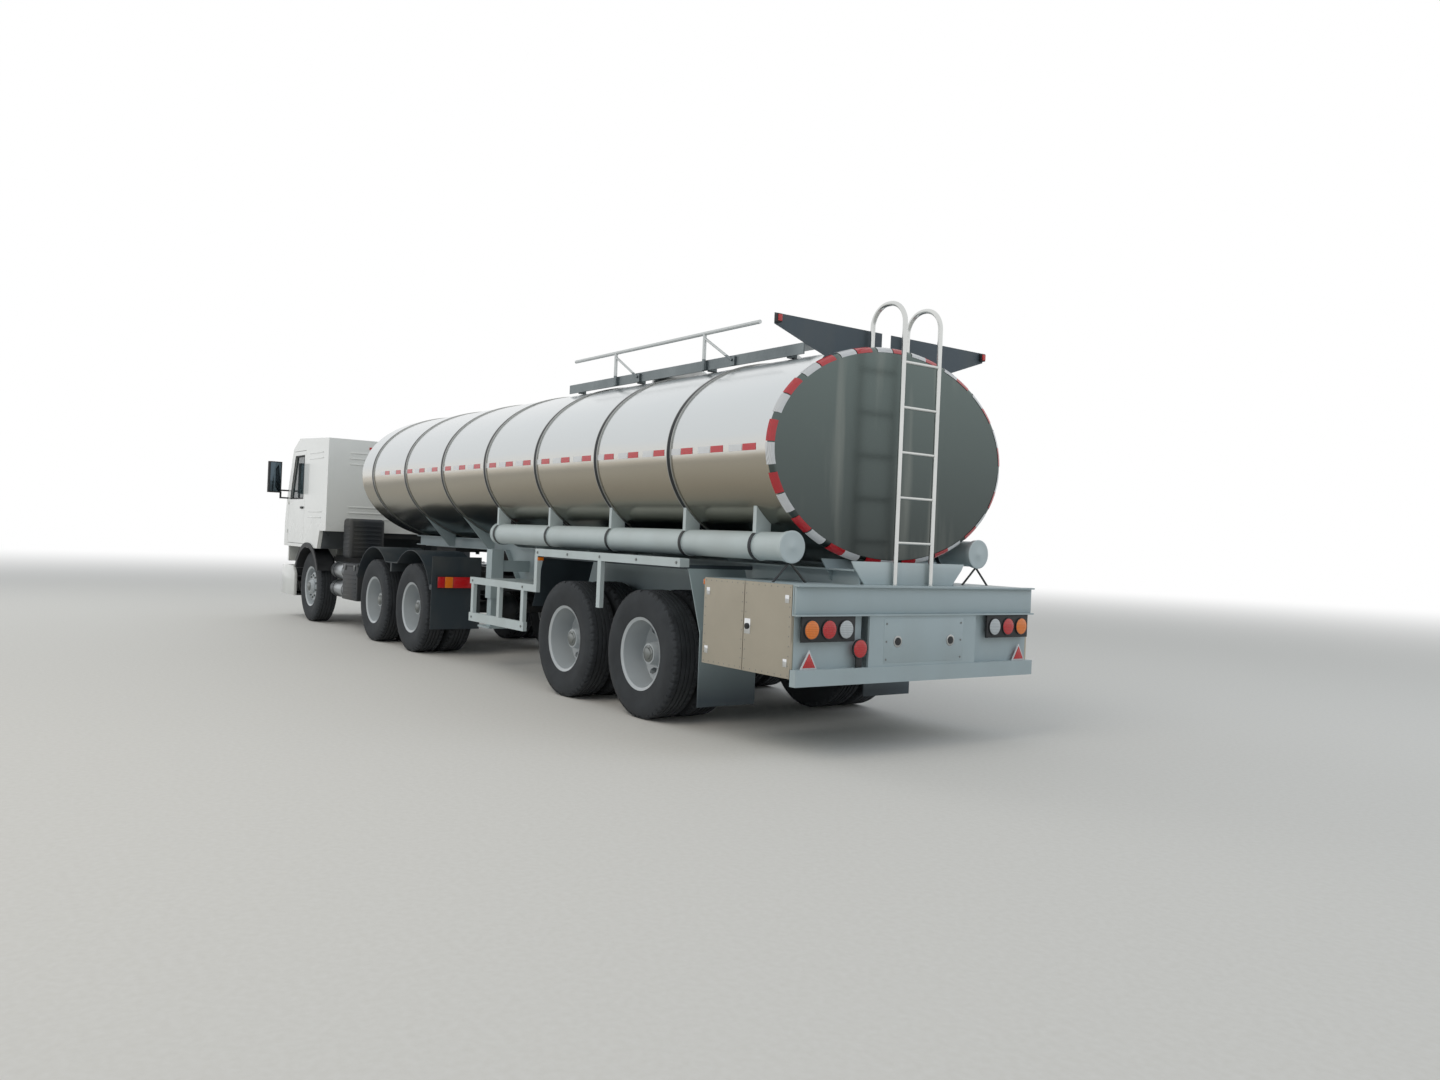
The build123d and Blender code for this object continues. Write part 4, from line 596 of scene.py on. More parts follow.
def slab(points, plane, low, high, edge):
    """A plate with its outline in the side view (distance, z) or, between two distances, in the cross
    view (y, z), its edges rounded."""
    if plane == "side":
        corners, shift = [(fore(distance), low, z) for distance, z in points], (0, high - low, 0)
    else:
        corners, shift = [(fore(low), y, z) for y, z in points], (high - low, 0, 0)
    polygon(corners, "NGON")
    bpy.ops.mesh.extrude_region_move(TRANSFORM_OT_translate={"value": shift})
    bpy.ops.mesh.select_all(action="SELECT")
    bpy.ops.mesh.normals_make_consistent(inside=False)
    bpy.ops.mesh.bevel(offset=edge, segments=2, affect="EDGES")
    return close()


def rod(first, second, radius, sides=12):
    """A round bar between two points, its ends chamfered."""
    first, second = Vector(first), Vector(second)
    deselect()
    bpy.ops.mesh.primitive_cylinder_add(vertices=sides, radius=radius, depth=(second - first).length)
    edit(bpy.context.active_object)
    pick(lambda middle, normal: abs(normal.z) > 0.9)
    bpy.ops.mesh.inset(thickness=radius * 0.25, depth=radius * 0.15, use_individual=True)
    obj = close()
    turn = (second - first).to_track_quat("Z", "Y").to_matrix().to_4x4()
    obj.data.transform(Matrix.Translation((first + second) / 2) @ turn)
    return obj


def border(corners, width, thickness):
    """A flat frame of even width inside a ring of corners."""
    obj = polygon(corners, "NGON")
    bpy.ops.mesh.inset(thickness=width)
    bpy.ops.mesh.delete(type="FACE")
    close()
    modifier = obj.modifiers.new("thickness", "SOLIDIFY")
    modifier.thickness = thickness
    modifier.offset = 0
    bpy.ops.object.modifier_apply(modifier="thickness")
    edit(obj)
    bpy.ops.mesh.normals_make_consistent(inside=False)
    return close()


def bolt(radius, height):
    """A hexagon head with a washer face and the stud's end, its face to the left."""
    deselect()
    bpy.ops.mesh.primitive_cylinder_add(vertices=6, radius=radius, depth=height)
    edit(bpy.context.active_object)
    pick(lambda middle, normal: normal.z > 0.9)
    bpy.ops.mesh.inset(thickness=radius * 0.12, depth=radius * 0.1)
    bpy.ops.mesh.inset(thickness=radius * 0.28, depth=0)
    bpy.ops.mesh.extrude_region_move(TRANSFORM_OT_translate={"value": (0, 0, height * 0.35)})
    obj = close()
    obj.data.transform(Matrix.Rotation(-math.pi / 2, 4, "X") @ Matrix.Translation((0, 0, height / 2)))
    return obj


# Operators, one for each group of pieces


class TANKER_OT_finishes(bpy.types.Operator):
    """Give every CAD node its real finish"""

    bl_idname = "tanker.finishes"
    bl_label = "Finishes"

    def execute(self, context):
        make_finishes(context.scene.tanker_colours)
        for finish, nodes in NODE_FINISHES.items():
            for node in nodes:
                self.paint(node, finish)
        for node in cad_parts:
            if node.startswith("tyre_"):
                self.paint(node, "tyre")
            elif node.startswith("rim_"):
                self.paint(node, "rim")
        return {"FINISHED"}

    def paint(self, node, finish):
        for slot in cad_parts[node].material_slots:
            slot.material = FINISHES[finish]


# Tyre section from the bead over the sidewall and shoulder, as (distance from the centre, radius)
SIDEWALL = (
    (0.110, 0.292), (0.118, 0.298), (0.126, 0.312), (0.128, 0.330), (0.137, 0.372), (0.143, 0.412),
    (0.1445, 0.440), (0.139, 0.478), (0.132, 0.500), (0.126, 0.512), (0.119, 0.527), (0.112, 0.533),
)
# Tread from its edge to the middle groove: (distance from the centre, share of the groove's depth)
TREAD = (
    (0.104, 0), (0.072, 0), (0.069, 1), (0.060, 1), (0.057, 0), (0.026, 0), (0.023, 1), (0.014, 1),
    (0.011, 0),
)
TYRE_RADIUS = 0.535
STEER_CENTRE = 1.020
TWIN_CENTRES = (0.755, 1.085)


class TANKER_OT_tyres(bpy.types.Operator):
    """Model one treaded tyre and copy it to every wheel"""

    bl_idname = "tanker.tyres"
    bl_label = "Tyres"

    def execute(self, context):
        sizes = context.scene.tanker_sizes
        half = [*SIDEWALL] + [(y, TYRE_RADIUS - 0.0005 - share * sizes.groove_depth) for y, share in TREAD]
        profile = half + [(-y, radius) for y, radius in reversed(half)]
        tyre = turned(profile, 2 * sizes.tread_blocks)
        edit(tyre)
        step = math.pi / sizes.tread_blocks

        def shoulder_gap(middle, normal):
            turn = math.atan2(middle.x, middle.z) % (2 * math.pi)
            radius = math.hypot(middle.x, middle.z)
            return int(turn / step) % 2 == 0 and abs(middle.y) > 0.075 and radius > 0.515

        pick(shoulder_gap)
        bpy.ops.mesh.extrude_region_shrink_fatten(
            TRANSFORM_OT_shrink_fatten={"value": -0.65 * sizes.groove_depth, "use_even_offset": True}
        )
        close()
        for node, wheel, _, side in wheels():
            ys = (STEER_CENTRE,) if "steer" in wheel else TWIN_CENTRES
            copies = [copy_at(tyre, (centre(node).x, side * y, TYRE_RADIUS)) for y in ys]
            piece = fit(copies, f"treaded_tyre_{wheel}", "tyre", f"wheel_{wheel}")
            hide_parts(node)
        discard(tyre)
        return {"FINISHED"}


NUT_CIRCLE = 0.1675
# Y of the disc's face and of the hub's end
TWIN_HUB = (0.932, 1.125)
STEER_HUB = (1.105, 1.165)
# Section of the hub's end cap: (y from the hub's end, radius)
HUB_CAP = (
    (-0.004, 0.0), (-0.004, 0.070), (0.006, 0.070), (0.009, 0.064), (0.010, 0.052), (0.018, 0.048),
    (0.022, 0.038), (0.024, 0.0),
)


class TANKER_OT_wheel_nuts(bpy.types.Operator):
    """Fit nuts on studs, and a bolted cap, to every hub"""

    bl_idname = "tanker.wheel_nuts"
    bl_label = "Wheel nuts and hub caps"

    def execute(self, context):
        count = context.scene.tanker_sizes.wheel_nuts
        nut, small, cap = bolt(0.0175, 0.020), bolt(0.006, 0.006), turned(HUB_CAP, 24)
        for node, wheel, way, _ in wheels():
            disc, end = STEER_HUB if "steer" in wheel else TWIN_HUB
            parts = [self.round_hub(nut, NUT_CIRCLE, disc, i / count) for i in range(count)]
            parts += [self.round_hub(small, 0.060, end + 0.006, (i + 0.5) / 6) for i in range(6)]
            parts.append(copy_at(cap, (0, end, 0)))
            ring = join(parts)
            ring.data.transform(Matrix.Translation((centre(node).x, 0, TYRE_RADIUS)) @ facing(way))
            fit([ring], f"wheel_nuts_{wheel}", "nut", f"wheel_{wheel}")
        discard(nut, small, cap)
        return {"FINISHED"}

    def round_hub(self, part, radius, y, share):
        """A copy on a circle about the Y axis, a share of the way round."""
        turn = Matrix.Rotation(share * 2 * math.pi, 4, "Y")
        return copy_at(part, (0, 0, 0), turn @ Matrix.Translation((0, y, radius)))


TANK_Z = 2.2
TANK_HALF_WIDTH = 1.244
TANK_HALF_HEIGHT = 0.84
TANK_REAR = 0.390
REAR_KNUCKLE = 0.045
# Heights of the tape over the barrel's side and over the rear rim
SIDE_LIFT = 0.0012
RIM_LIFT = 0.0035
TAPE_DROP = 0.01
# Place of the first red patch from the tank's rear, and the length left bare
TAPE_START = 0.24
TAPE_SPARE = 0.6
# Patches' shifts as shares of the pitch
TAPE_SHIFTS = {"red": 0.0, "white": 0.42}


class TANKER_OT_tape(bpy.types.Operator):
    """Lay red and white reflective patches along the tank's sides and round its rear rim"""

    bl_idname = "tanker.tape"
    bl_label = "Reflective tape"

    def execute(self, context):
        sizes = context.scene.tanker_sizes
        low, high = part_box("tank_shell")
        patches = {"red": [], "white": []}
        for _, side in SIDES:
            for index in range(int((high.x - low.x - TAPE_SPARE) / sizes.tape_pitch)):
                for colour, shift in TAPE_SHIFTS.items():
                    x = low.x + TAPE_START + (index + shift) * sizes.tape_pitch
                    patches[colour].append(self.side_patch(x, side, sizes))
        angles = self.oval_angles(sizes)
        count = round(len(angles) * sizes.tape_width / 5 / sizes.tape_pitch)
        for index in range(count):
            for colour, shift in TAPE_SHIFTS.items():
                patches[colour].append(self.rim_patch((index + shift) / count, angles, sizes))
        for colour, parts in patches.items():
            fit(parts, f"reflective_tape_{colour}", f"tape_{colour}", "trailer")
        return {"FINISHED"}

    def oval_angles(self, sizes):
        """Angles round the tank's oval at even steps, five to the tape's width."""
        step = sizes.tape_width / 5
        angles = [0.0]
        while angles[-1] < 2 * math.pi:
            turn = angles[-1]
            speed = math.hypot(TANK_HALF_WIDTH * math.cos(turn), TANK_HALF_HEIGHT * math.sin(turn))
            angles.append(turn + step / speed)
        return angles

    def side_patch(self, x, side, sizes):
        """A thin patch that follows the barrel's curve at its widest line."""

        def place(across, up):
            rise = up * sizes.tape_width
            y = (TANK_HALF_WIDTH + SIDE_LIFT) * math.sqrt(1 - (rise / TANK_HALF_HEIGHT) ** 2)
            return x + across * sizes.tape_patch, side * y, TANK_Z - TAPE_DROP + rise

        return self.patch(1, 4, place, Vector((0, side, 0)))

    def rim_patch(self, share, angles, sizes):
        """A patch bent round the rear rim's edge."""
        steps = sizes.tape_patch / (sizes.tape_width / 5)
        middle = angles[int(share * len(angles)) % len(angles)]

        def place(across, up):
            angle = angles[int(share * len(angles) + up * steps) % len(angles)]
            lean = (across + 0.5) * math.pi / 2
            grow = REAR_KNUCKLE * (math.sin(lean) - 1) + RIM_LIFT
            x = fore(TANK_REAR) + REAR_KNUCKLE * (1 - math.cos(lean)) - RIM_LIFT * math.cos(lean)
            y = (TANK_HALF_WIDTH + grow) * math.sin(angle)
            return x, y, TANK_Z + (TANK_HALF_HEIGHT + grow) * math.cos(angle)

        return self.patch(3, 5, place, Vector((-1, math.sin(middle), math.cos(middle))))

    def patch(self, columns, rows, place, direction):
        """A grid whose vertices a function places, its faces turned to the outside of the tank."""
        deselect()
        bpy.ops.mesh.primitive_grid_add(x_subdivisions=columns, y_subdivisions=rows, size=1)
        obj = bpy.context.active_object
        for vertex in obj.data.vertices:
            vertex.co = place(vertex.co.x, vertex.co.y)
        edit(obj)
        mesh = bmesh.from_edit_mesh(obj.data)
        if sum(face.normal.dot(direction) for face in mesh.faces) < 0:
            bpy.ops.mesh.flip_normals()
        return close()


# Section of a round lamp's lens and of its ring: (y from the lamp's face, radius)
ROUND_LENS = (
    (-0.002, 0.0), (-0.002, 0.063), (0.0005, 0.063), (0.0028, 0.056), (0.0040, 0.036), (0.0046, 0.014),
    (0.0048, 0.0),
)
LAMP_RING = (
    (-0.014, 0.060), (-0.014, 0.0700), (0.0010, 0.0700), (0.0026, 0.0670), (0.0005, 0.0628), (-0.001, 0.0628),
)
# Lamps across the board, from the outside in
BOARD_LAMPS = ((1.11, "amber"), (0.95, "red"), (0.79, "clear"))
LAMP_Z = 0.915
LAMP_FACE = 0.006
FOG_LAMP = (0.650, 0.775)
TRIANGLE_Y = 1.11
TRIANGLE_HALF = 0.078
TRIANGLE_LOW = 0.6402
TRIANGLE_HIGH = 0.775
TRIANGLE_FACE = 0.030


class TANKER_OT_rear_lamps(bpy.types.Operator):
    """Model the rear lamp boards with their round lamps, the fog lamp, the triangles and the tips"""

    bl_idname = "tanker.rear_lamps"
    bl_label = "Rear lamps"

    def execute(self, context):
        lens_part = turned(ROUND_LENS, 32)
        ring_part = turned(LAMP_RING, 32)
        lenses = {"amber": [], "red": [], "clear": []}
        rings, boards, triangles, tips = [], [], [], []
        places = [(side * y, LAMP_Z, colour) for _, side in SIDES for y, colour in BOARD_LAMPS]
        places.append((*FOG_LAMP, "red"))
        for y, z, colour in places:
            lenses[colour].append(mount(lens_part, LAMP_FACE, y, z, "rear"))
            rings.append(mount(ring_part, LAMP_FACE, y, z, "rear"))
        for _, side in SIDES:
            boards += bricks([(0.014, 0.032, 0.700, 1.195, 0.828, 1.0077, 0.004)], side)
            lenses["red"].append(self.triangle(side * TRIANGLE_Y, 0.74, 0.007))
            triangles.append(self.triangle(side * TRIANGLE_Y, 1.0, 0.003))
            tips += bricks([(0.508, 0.5398, 1.080, 1.127, 3.100, 3.163, 0.004)], side)
            lenses["red"] += bricks([(0.500, 0.512, 1.086, 1.121, 3.107, 3.156, 0.004)], side)
        boards += bricks([(0.014, 0.030, 0.622, 0.678, 0.6402, 0.730, 0.003)])
        for colour, parts in lenses.items():
            fit(parts, f"rear_lenses_{colour}", colour, "trailer")
        fit(rings, "rear_lamp_rings", "trim", "trailer")
        piece = fit(boards, "rear_lamp_boards", "trim", "trailer")
        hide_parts("tail_lamps")
        fit(tips, "splash_tip_lamps", "trim", "trailer")
        fit(triangles, "triangle_edges", "tape_white", "trailer")
        discard(lens_part, ring_part)
        return {"FINISHED"}

    def triangle(self, y, share, proud):
        """A reflector with a bevelled face, a share of the full size about its middle."""
        height = TRIANGLE_HIGH - TRIANGLE_LOW
        middle = TRIANGLE_LOW + height / 3
        corners = ((-TRIANGLE_HALF, -height / 3), (TRIANGLE_HALF, -height / 3), (0, 2 * height / 3))
        outline = [(y + across * share, middle + up * share) for across, up in corners]
        return slab(outline, "cross", TRIANGLE_FACE - proud, TRIANGLE_FACE + 0.004, 0.0012)


# Section of a panel knob and its washer: (y from the panel, radius)
KNOB = (
    (0.0, 0.0), (0.0, 0.024), (0.003, 0.0255), (0.006, 0.0290), (0.0085, 0.0280), (0.0092, 0.022),
    (0.0092, 0.0),
)
WASHER = ((-0.001, 0.026), (-0.001, 0.042), (0.0028, 0.043), (0.0036, 0.040), (0.0036, 0.026))
COVER_FACE = 0.0085
KNOB_Y, KNOB_Z = 0.28, 0.820
# Section of a tube's pale end disc: (y from the cap's face, radius)
TUBE_END = (
    (-0.004, 0.0), (-0.004, 0.119), (0.004, 0.119), (0.007, 0.112), (0.005, 0.100), (0.005, 0.030),
    (0.010, 0.020), (0.010, 0.0),
)
TUBE_STRAP = ((-0.019, 0.1128), (-0.019, 0.1165), (0.019, 0.1165), (0.019, 0.1128))
TUBE_Y, TUBE_Z = 1.0, 1.477
HANGERS = (0.750, 1.677, 2.857, 4.037, 5.217)
# Bolts of the mudguards and side guards: (distance, z)
GUARD_BOLTS = (
    (1.50, 1.315), (2.10, 1.315), (2.709, 1.315), (3.30, 1.315), (3.90, 1.315),
    (4.20, 0.965), (4.20, 0.575), (5.40, 0.965), (5.40, 0.575),
)
GUARD_FACE = 1.250
# The pale saddle behind the ladder: half width and height at its foot, shoulder and top
SADDLE = ((0.470, 1.2235), (0.575, 1.345), (0.600, 1.392))
PANEL_PLATES = (
    (COVER_FACE, 0.0110, -0.420, 0.420, 0.665, 0.985, 0.001),
    (0.0285, 0.0470, -1.2465, 1.2465, 1.0205, 1.2105, 0.002),
)


class TANKER_OT_rear_trim(bpy.types.Operator):
    """Fit the rear panel's knobs, the channel's web, the saddle, the tubes' ends and straps, and bolts"""

    bl_idname = "tanker.rear_trim"
    bl_label = "Rear trim"

    def execute(self, context):
        knob, washer = turned(KNOB, 24), turned(WASHER, 24)
        end, strap = turned(TUBE_END, 40), turned(TUBE_STRAP, 40)
        screw, head = bolt(0.008, 0.003), bolt(0.012, 0.007)
        knobs, washers, ends, stays, straps, screws, heads = [], [], [], [], [], [], []
        for way, side in SIDES:
            knobs.append(mount(knob, COVER_FACE + 0.0012, side * KNOB_Y, KNOB_Z, "rear"))
            washers.append(mount(washer, COVER_FACE, side * KNOB_Y, KNOB_Z, "rear"))
            screws += [mount(screw, COVER_FACE, side * 0.395, z, "rear") for z in (0.690, 0.820, 0.950)]
            ends.append(mount(end, TANK_REAR, side * TUBE_Y, TUBE_Z, "rear"))
            ends.append(mount(end, 5.300, side * TUBE_Y, TUBE_Z, "front"))
            straps += [mount(strap, hanger, side * TUBE_Y, TUBE_Z, "rear") for hanger in HANGERS]
            top = (fore(0.41), side * TUBE_Y, 1.367)
            stays += [rod(top, (fore(0.41), side * foot, 1.2185), 0.008) for foot in (0.84, 1.15)]
            heads += [mount(head, distance, side * GUARD_FACE, z, way) for distance, z in GUARD_BOLTS]
        plates = bricks(PANEL_PLATES)
        outline = [(-half, z) for half, z in SADDLE] + [(half, z) for half, z in reversed(SADDLE)]
        saddle = slab(outline, "cross", 0.184, 0.196, 0.002)
        fit(plates, "rear_panel_cover_and_web", "trailer", "trailer")
        fit([saddle], "rear_saddle_plate", "pale", "trailer")
        fit(knobs, "panel_knobs", "trim", "trailer")
        fit(washers, "knob_washers", "fitting", "trailer")
        fit(screws, "panel_screws", "nut", "trailer")
        fit(ends, "tube_end_discs", "pale", "trailer")
        fit(straps, "tube_straps", "chassis", "trailer")
        fit(stays, "tube_stays", "chassis", "trailer")
        fit(heads, "guard_bolts", "nut", "trailer")
        discard(knob, washer, end, strap, screw, head)
        return {"FINISHED"}


# Doors of the cabinets: node, side, rear and front ends, hinge end, lock's distance
DOORS = (
    ("cabinet_door_left_rear", 1, 0.066, 0.597, "rear", 0.552),
    ("cabinet_door_left_front", 1, 0.603, 1.100, "front", None),
    ("cabinet_door_right", -1, 0.066, 1.100, "front", 0.111),
)
DOOR_LOW = 0.578
DOOR_HIGH = 1.217
DOOR_FACE = 1.250
HINGE_ZS = (0.68, 1.12)
LOCK_Z = 0.8975
RIVET_PITCH = 0.062
RIVET_INSET = 0.02
RIVET_ROWS = (DOOR_LOW + 0.016, DOOR_HIGH - 0.016)
# Sections of a rivet and of a lock's turning handle: (y from their foot, radius)
RIVET = ((0.0, 0.0), (0.0, 0.0050), (0.0012, 0.0042), (0.0020, 0.0022), (0.0022, 0.0))
LOCK = (
    (0.0, 0.0), (0.0, 0.022), (0.009, 0.022), (0.0125, 0.018), (0.0125, 0.006), (0.016, 0.004), (0.016, 0.0),
)


class TANKER_OT_cabinets(bpy.types.Operator):
    """Fit locks, hinge leaves and rivets to the cabinets' doors"""

    bl_idname = "tanker.cabinets"
    bl_label = "Cabinet doors"

    def execute(self, context):
        rivet, handle = turned(RIVET, 8), turned(LOCK, 24)
        foot, top = RIVET_ROWS
        for node, side, rear, front, hinge, lock in DOORS:
            way = "left" if side > 0 else "right"
            inset = (rear + RIVET_INSET, front - RIVET_INSET)
            length = inset[1] - inset[0]
            columns = int(length / RIVET_PITCH)
            distances = [inset[0] + index * length / columns for index in range(columns + 1)]
            heights = [foot + index * (top - foot) / 9 for index in range(1, 9)]
            places = [(distance, z) for distance in distances for z in RIVET_ROWS]
            places += [(distance, z) for z in heights for distance in inset]
            rivets = [mount(rivet, distance, side * DOOR_FACE, z, way) for distance, z in places]
            fit(rivets, f"{node}_rivets", "nut", node)
            span = (rear + 0.030, rear + 0.072) if hinge == "rear" else (front - 0.030, front - 0.072)
            depth = (DOOR_FACE - 0.001, DOOR_FACE + 0.003)
            chrome = bricks([(*span, *depth, z - 0.028, z + 0.028, 0.001) for z in HINGE_ZS], side)
            if lock:
                plate = (lock - 0.034, lock + 0.034, *depth, LOCK_Z - 0.055, LOCK_Z + 0.055, 0.0015)
                chrome += bricks([plate], side)
                grip = mount(handle, lock, side * depth[1], LOCK_Z, way)
                fit([grip], f"{node}_lock_handle", "trim", node)
            fit(chrome, f"{node}_bright_fittings", "chrome", node)
        discard(rivet, handle)
        return {"FINISHED"}


# Small side lamps as rows for bricks: on the cabinet, then on the mudguard
MARKER_BASES = (
    (1.1005, 1.116, 1.185, 1.240, 1.160, 1.212, 0.003), (3.890, 3.946, 1.180, 1.246, 1.268, 1.2795, 0.003),
)
MARKER_LENSES = (
    (1.110, 1.132, 1.188, 1.244, 1.164, 1.208, 0.006), (3.894, 3.942, 1.184, 1.249, 1.236, 1.272, 0.007),
)


class TANKER_OT_side_markers(bpy.types.Operator):
    """Fit the small side lamps to the cabinets and the mudguards"""

    bl_idname = "tanker.side_markers"
    bl_label = "Side markers"

    def execute(self, context):
        lenses, housings = [], []
        for _, side in SIDES:
            housings += bricks(MARKER_BASES, side)
            lenses += bricks(MARKER_LENSES, side)
        fit(lenses, "side_marker_lenses", "amber", "trailer")
        fit(housings, "side_marker_bases", "trim", "trailer")
        return {"FINISHED"}


# Sections of the tractor's rear lamp from the outside in: outer y, inner y, colour
REAR_CLUSTER = ((1.184, 1.098, "red"), (1.094, 0.998, "amber"), (0.994, 0.756, "red"))


class TANKER_OT_tractor_lamps(bpy.types.Operator):
    """Fit the tractor's rear lenses"""

    bl_idname = "tanker.tractor_lamps"
    bl_label = "Tractor lamps"

    def execute(self, context):
        lenses = {"red": [], "amber": []}
        for _, side in SIDES:
            for outer, inner, colour in REAR_CLUSTER:
                lenses[colour] += bricks([(6.539, 6.548, outer, inner, 0.816, 0.944, 0.004)], side)
        for colour, parts in lenses.items():
            fit(parts, f"tractor_rear_lenses_{colour}", colour, "tractor")
        return {"FINISHED"}


# The bumper's bars: y and z spans, both at its face
BUMPER_BARS = (
    (-1.190, 1.190, 0.720, 0.820), (-1.190, 1.190, 0.350, 0.560), (-0.690, 0.690, 0.556, 0.724),
    (1.090, 1.190, 0.556, 0.724), (-1.190, -1.090, 0.556, 0.724),
)
BUMPER_BACK = (
    (13.092, 13.102, -1.185, 1.185, 0.552, 0.728, 0.001), (13.128, 13.1499, -0.56, 0.56, 0.375, 0.475, 0.004),
)
# On each side: its end in the side view, and its two steps, two brackets and arm as rows for bricks
BUMPER_WING = ((12.400, 0.350), (13.120, 0.350), (13.120, 0.820), (12.520, 0.820), (12.400, 0.700))
BUMPER_STEPS = (
    (12.420, 13.095, 0.850, 1.172, 0.351, 0.379, 0.004), (12.420, 13.095, 0.850, 1.172, 0.640, 0.668, 0.004),
    (12.500, 12.560, 0.432, 0.900, 0.731, 0.789, 0.004), (12.500, 12.560, 0.855, 1.168, 0.650, 0.788, 0.004),
    (12.895, 13.095, 0.355, 0.428, 0.727, 0.798, 0.004),
)
# Sections of a headlamp's dome and ring: (y from the lamp's face, radius)
HEADLAMP = ((-0.004, 0.0), (-0.004, 0.056), (0.004, 0.056), (0.012, 0.046), (0.017, 0.026), (0.019, 0.0))
HEADLAMP_RING = ((-0.004, 0.056), (-0.004, 0.067), (0.008, 0.067), (0.010, 0.062), (0.006, 0.056))


class TANKER_OT_front_bumper(bpy.types.Operator):
    """Model the front bumper with its headlamps let in, its wings and its steps"""

    bl_idname = "tanker.front_bumper"
    bl_label = "Front bumper and headlamps"

    def execute(self, context):
        bars = bricks([(13.090, 13.1495, *spans, 0.010, 3) for spans in BUMPER_BARS])
        black = bricks(BUMPER_BACK)
        for _, side in SIDES:
            bars.append(slab(BUMPER_WING, "side", *sorted((side * 1.170, side * 1.220)), 0.012))
            black += bricks(BUMPER_STEPS, side)
        piece = fit(bars, "front_bumper_bars", "cab", "tractor")
        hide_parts("front_bumper")
        fit(black, "front_bumper_steps", "trim", "tractor")
        dome, ring = turned(HEADLAMP, 32), turned(HEADLAMP_RING, 32)
        glass, rings, amber = [], [], []
        for _, side in SIDES:
            for y in (0.765, 0.905):
                glass.append(mount(dome, 13.105, side * y, 0.640, "front"))
                rings.append(mount(ring, 13.105, side * y, 0.640, "front"))
            amber += bricks([(13.100, 13.132, 0.985, 1.082, 0.574, 0.706, 0.008)], side)
        fit(glass, "headlamp_domes", "clear", "tractor")
        fit(rings, "headlamp_rings", "chrome", "tractor")
        fit(amber, "front_indicators", "amber", "tractor")
        discard(dome, ring)
        return {"FINISHED"}


# Outlines in the side view: (distance, z)
DOOR_WINDOW = ((12.080, 1.880), (12.810, 1.880), (12.800, 1.960), (12.590, 2.570), (12.080, 2.570))
VISOR = ((12.695, 2.715), (12.905, 2.640), (12.915, 2.615), (12.890, 2.612), (12.700, 2.680))
DOOR_SKIN = 1.2205
RIB_ZS = (1.600, 1.685, 1.770, 2.410, 2.495, 2.580)
SIDE_RIB_ZS = (1.600, 1.685, 2.495, 2.580)
# Section of a wheel arch: (y, radius)
ARCH = ((0.960, 0.602), (0.960, 0.615), (1.217, 0.615), (1.217, 0.672), (1.236, 0.672), (1.236, 0.602))
FRONT_AXLE = 11.740
ARCH_FOOT = 0.800
WIPER_REACH = 0.78


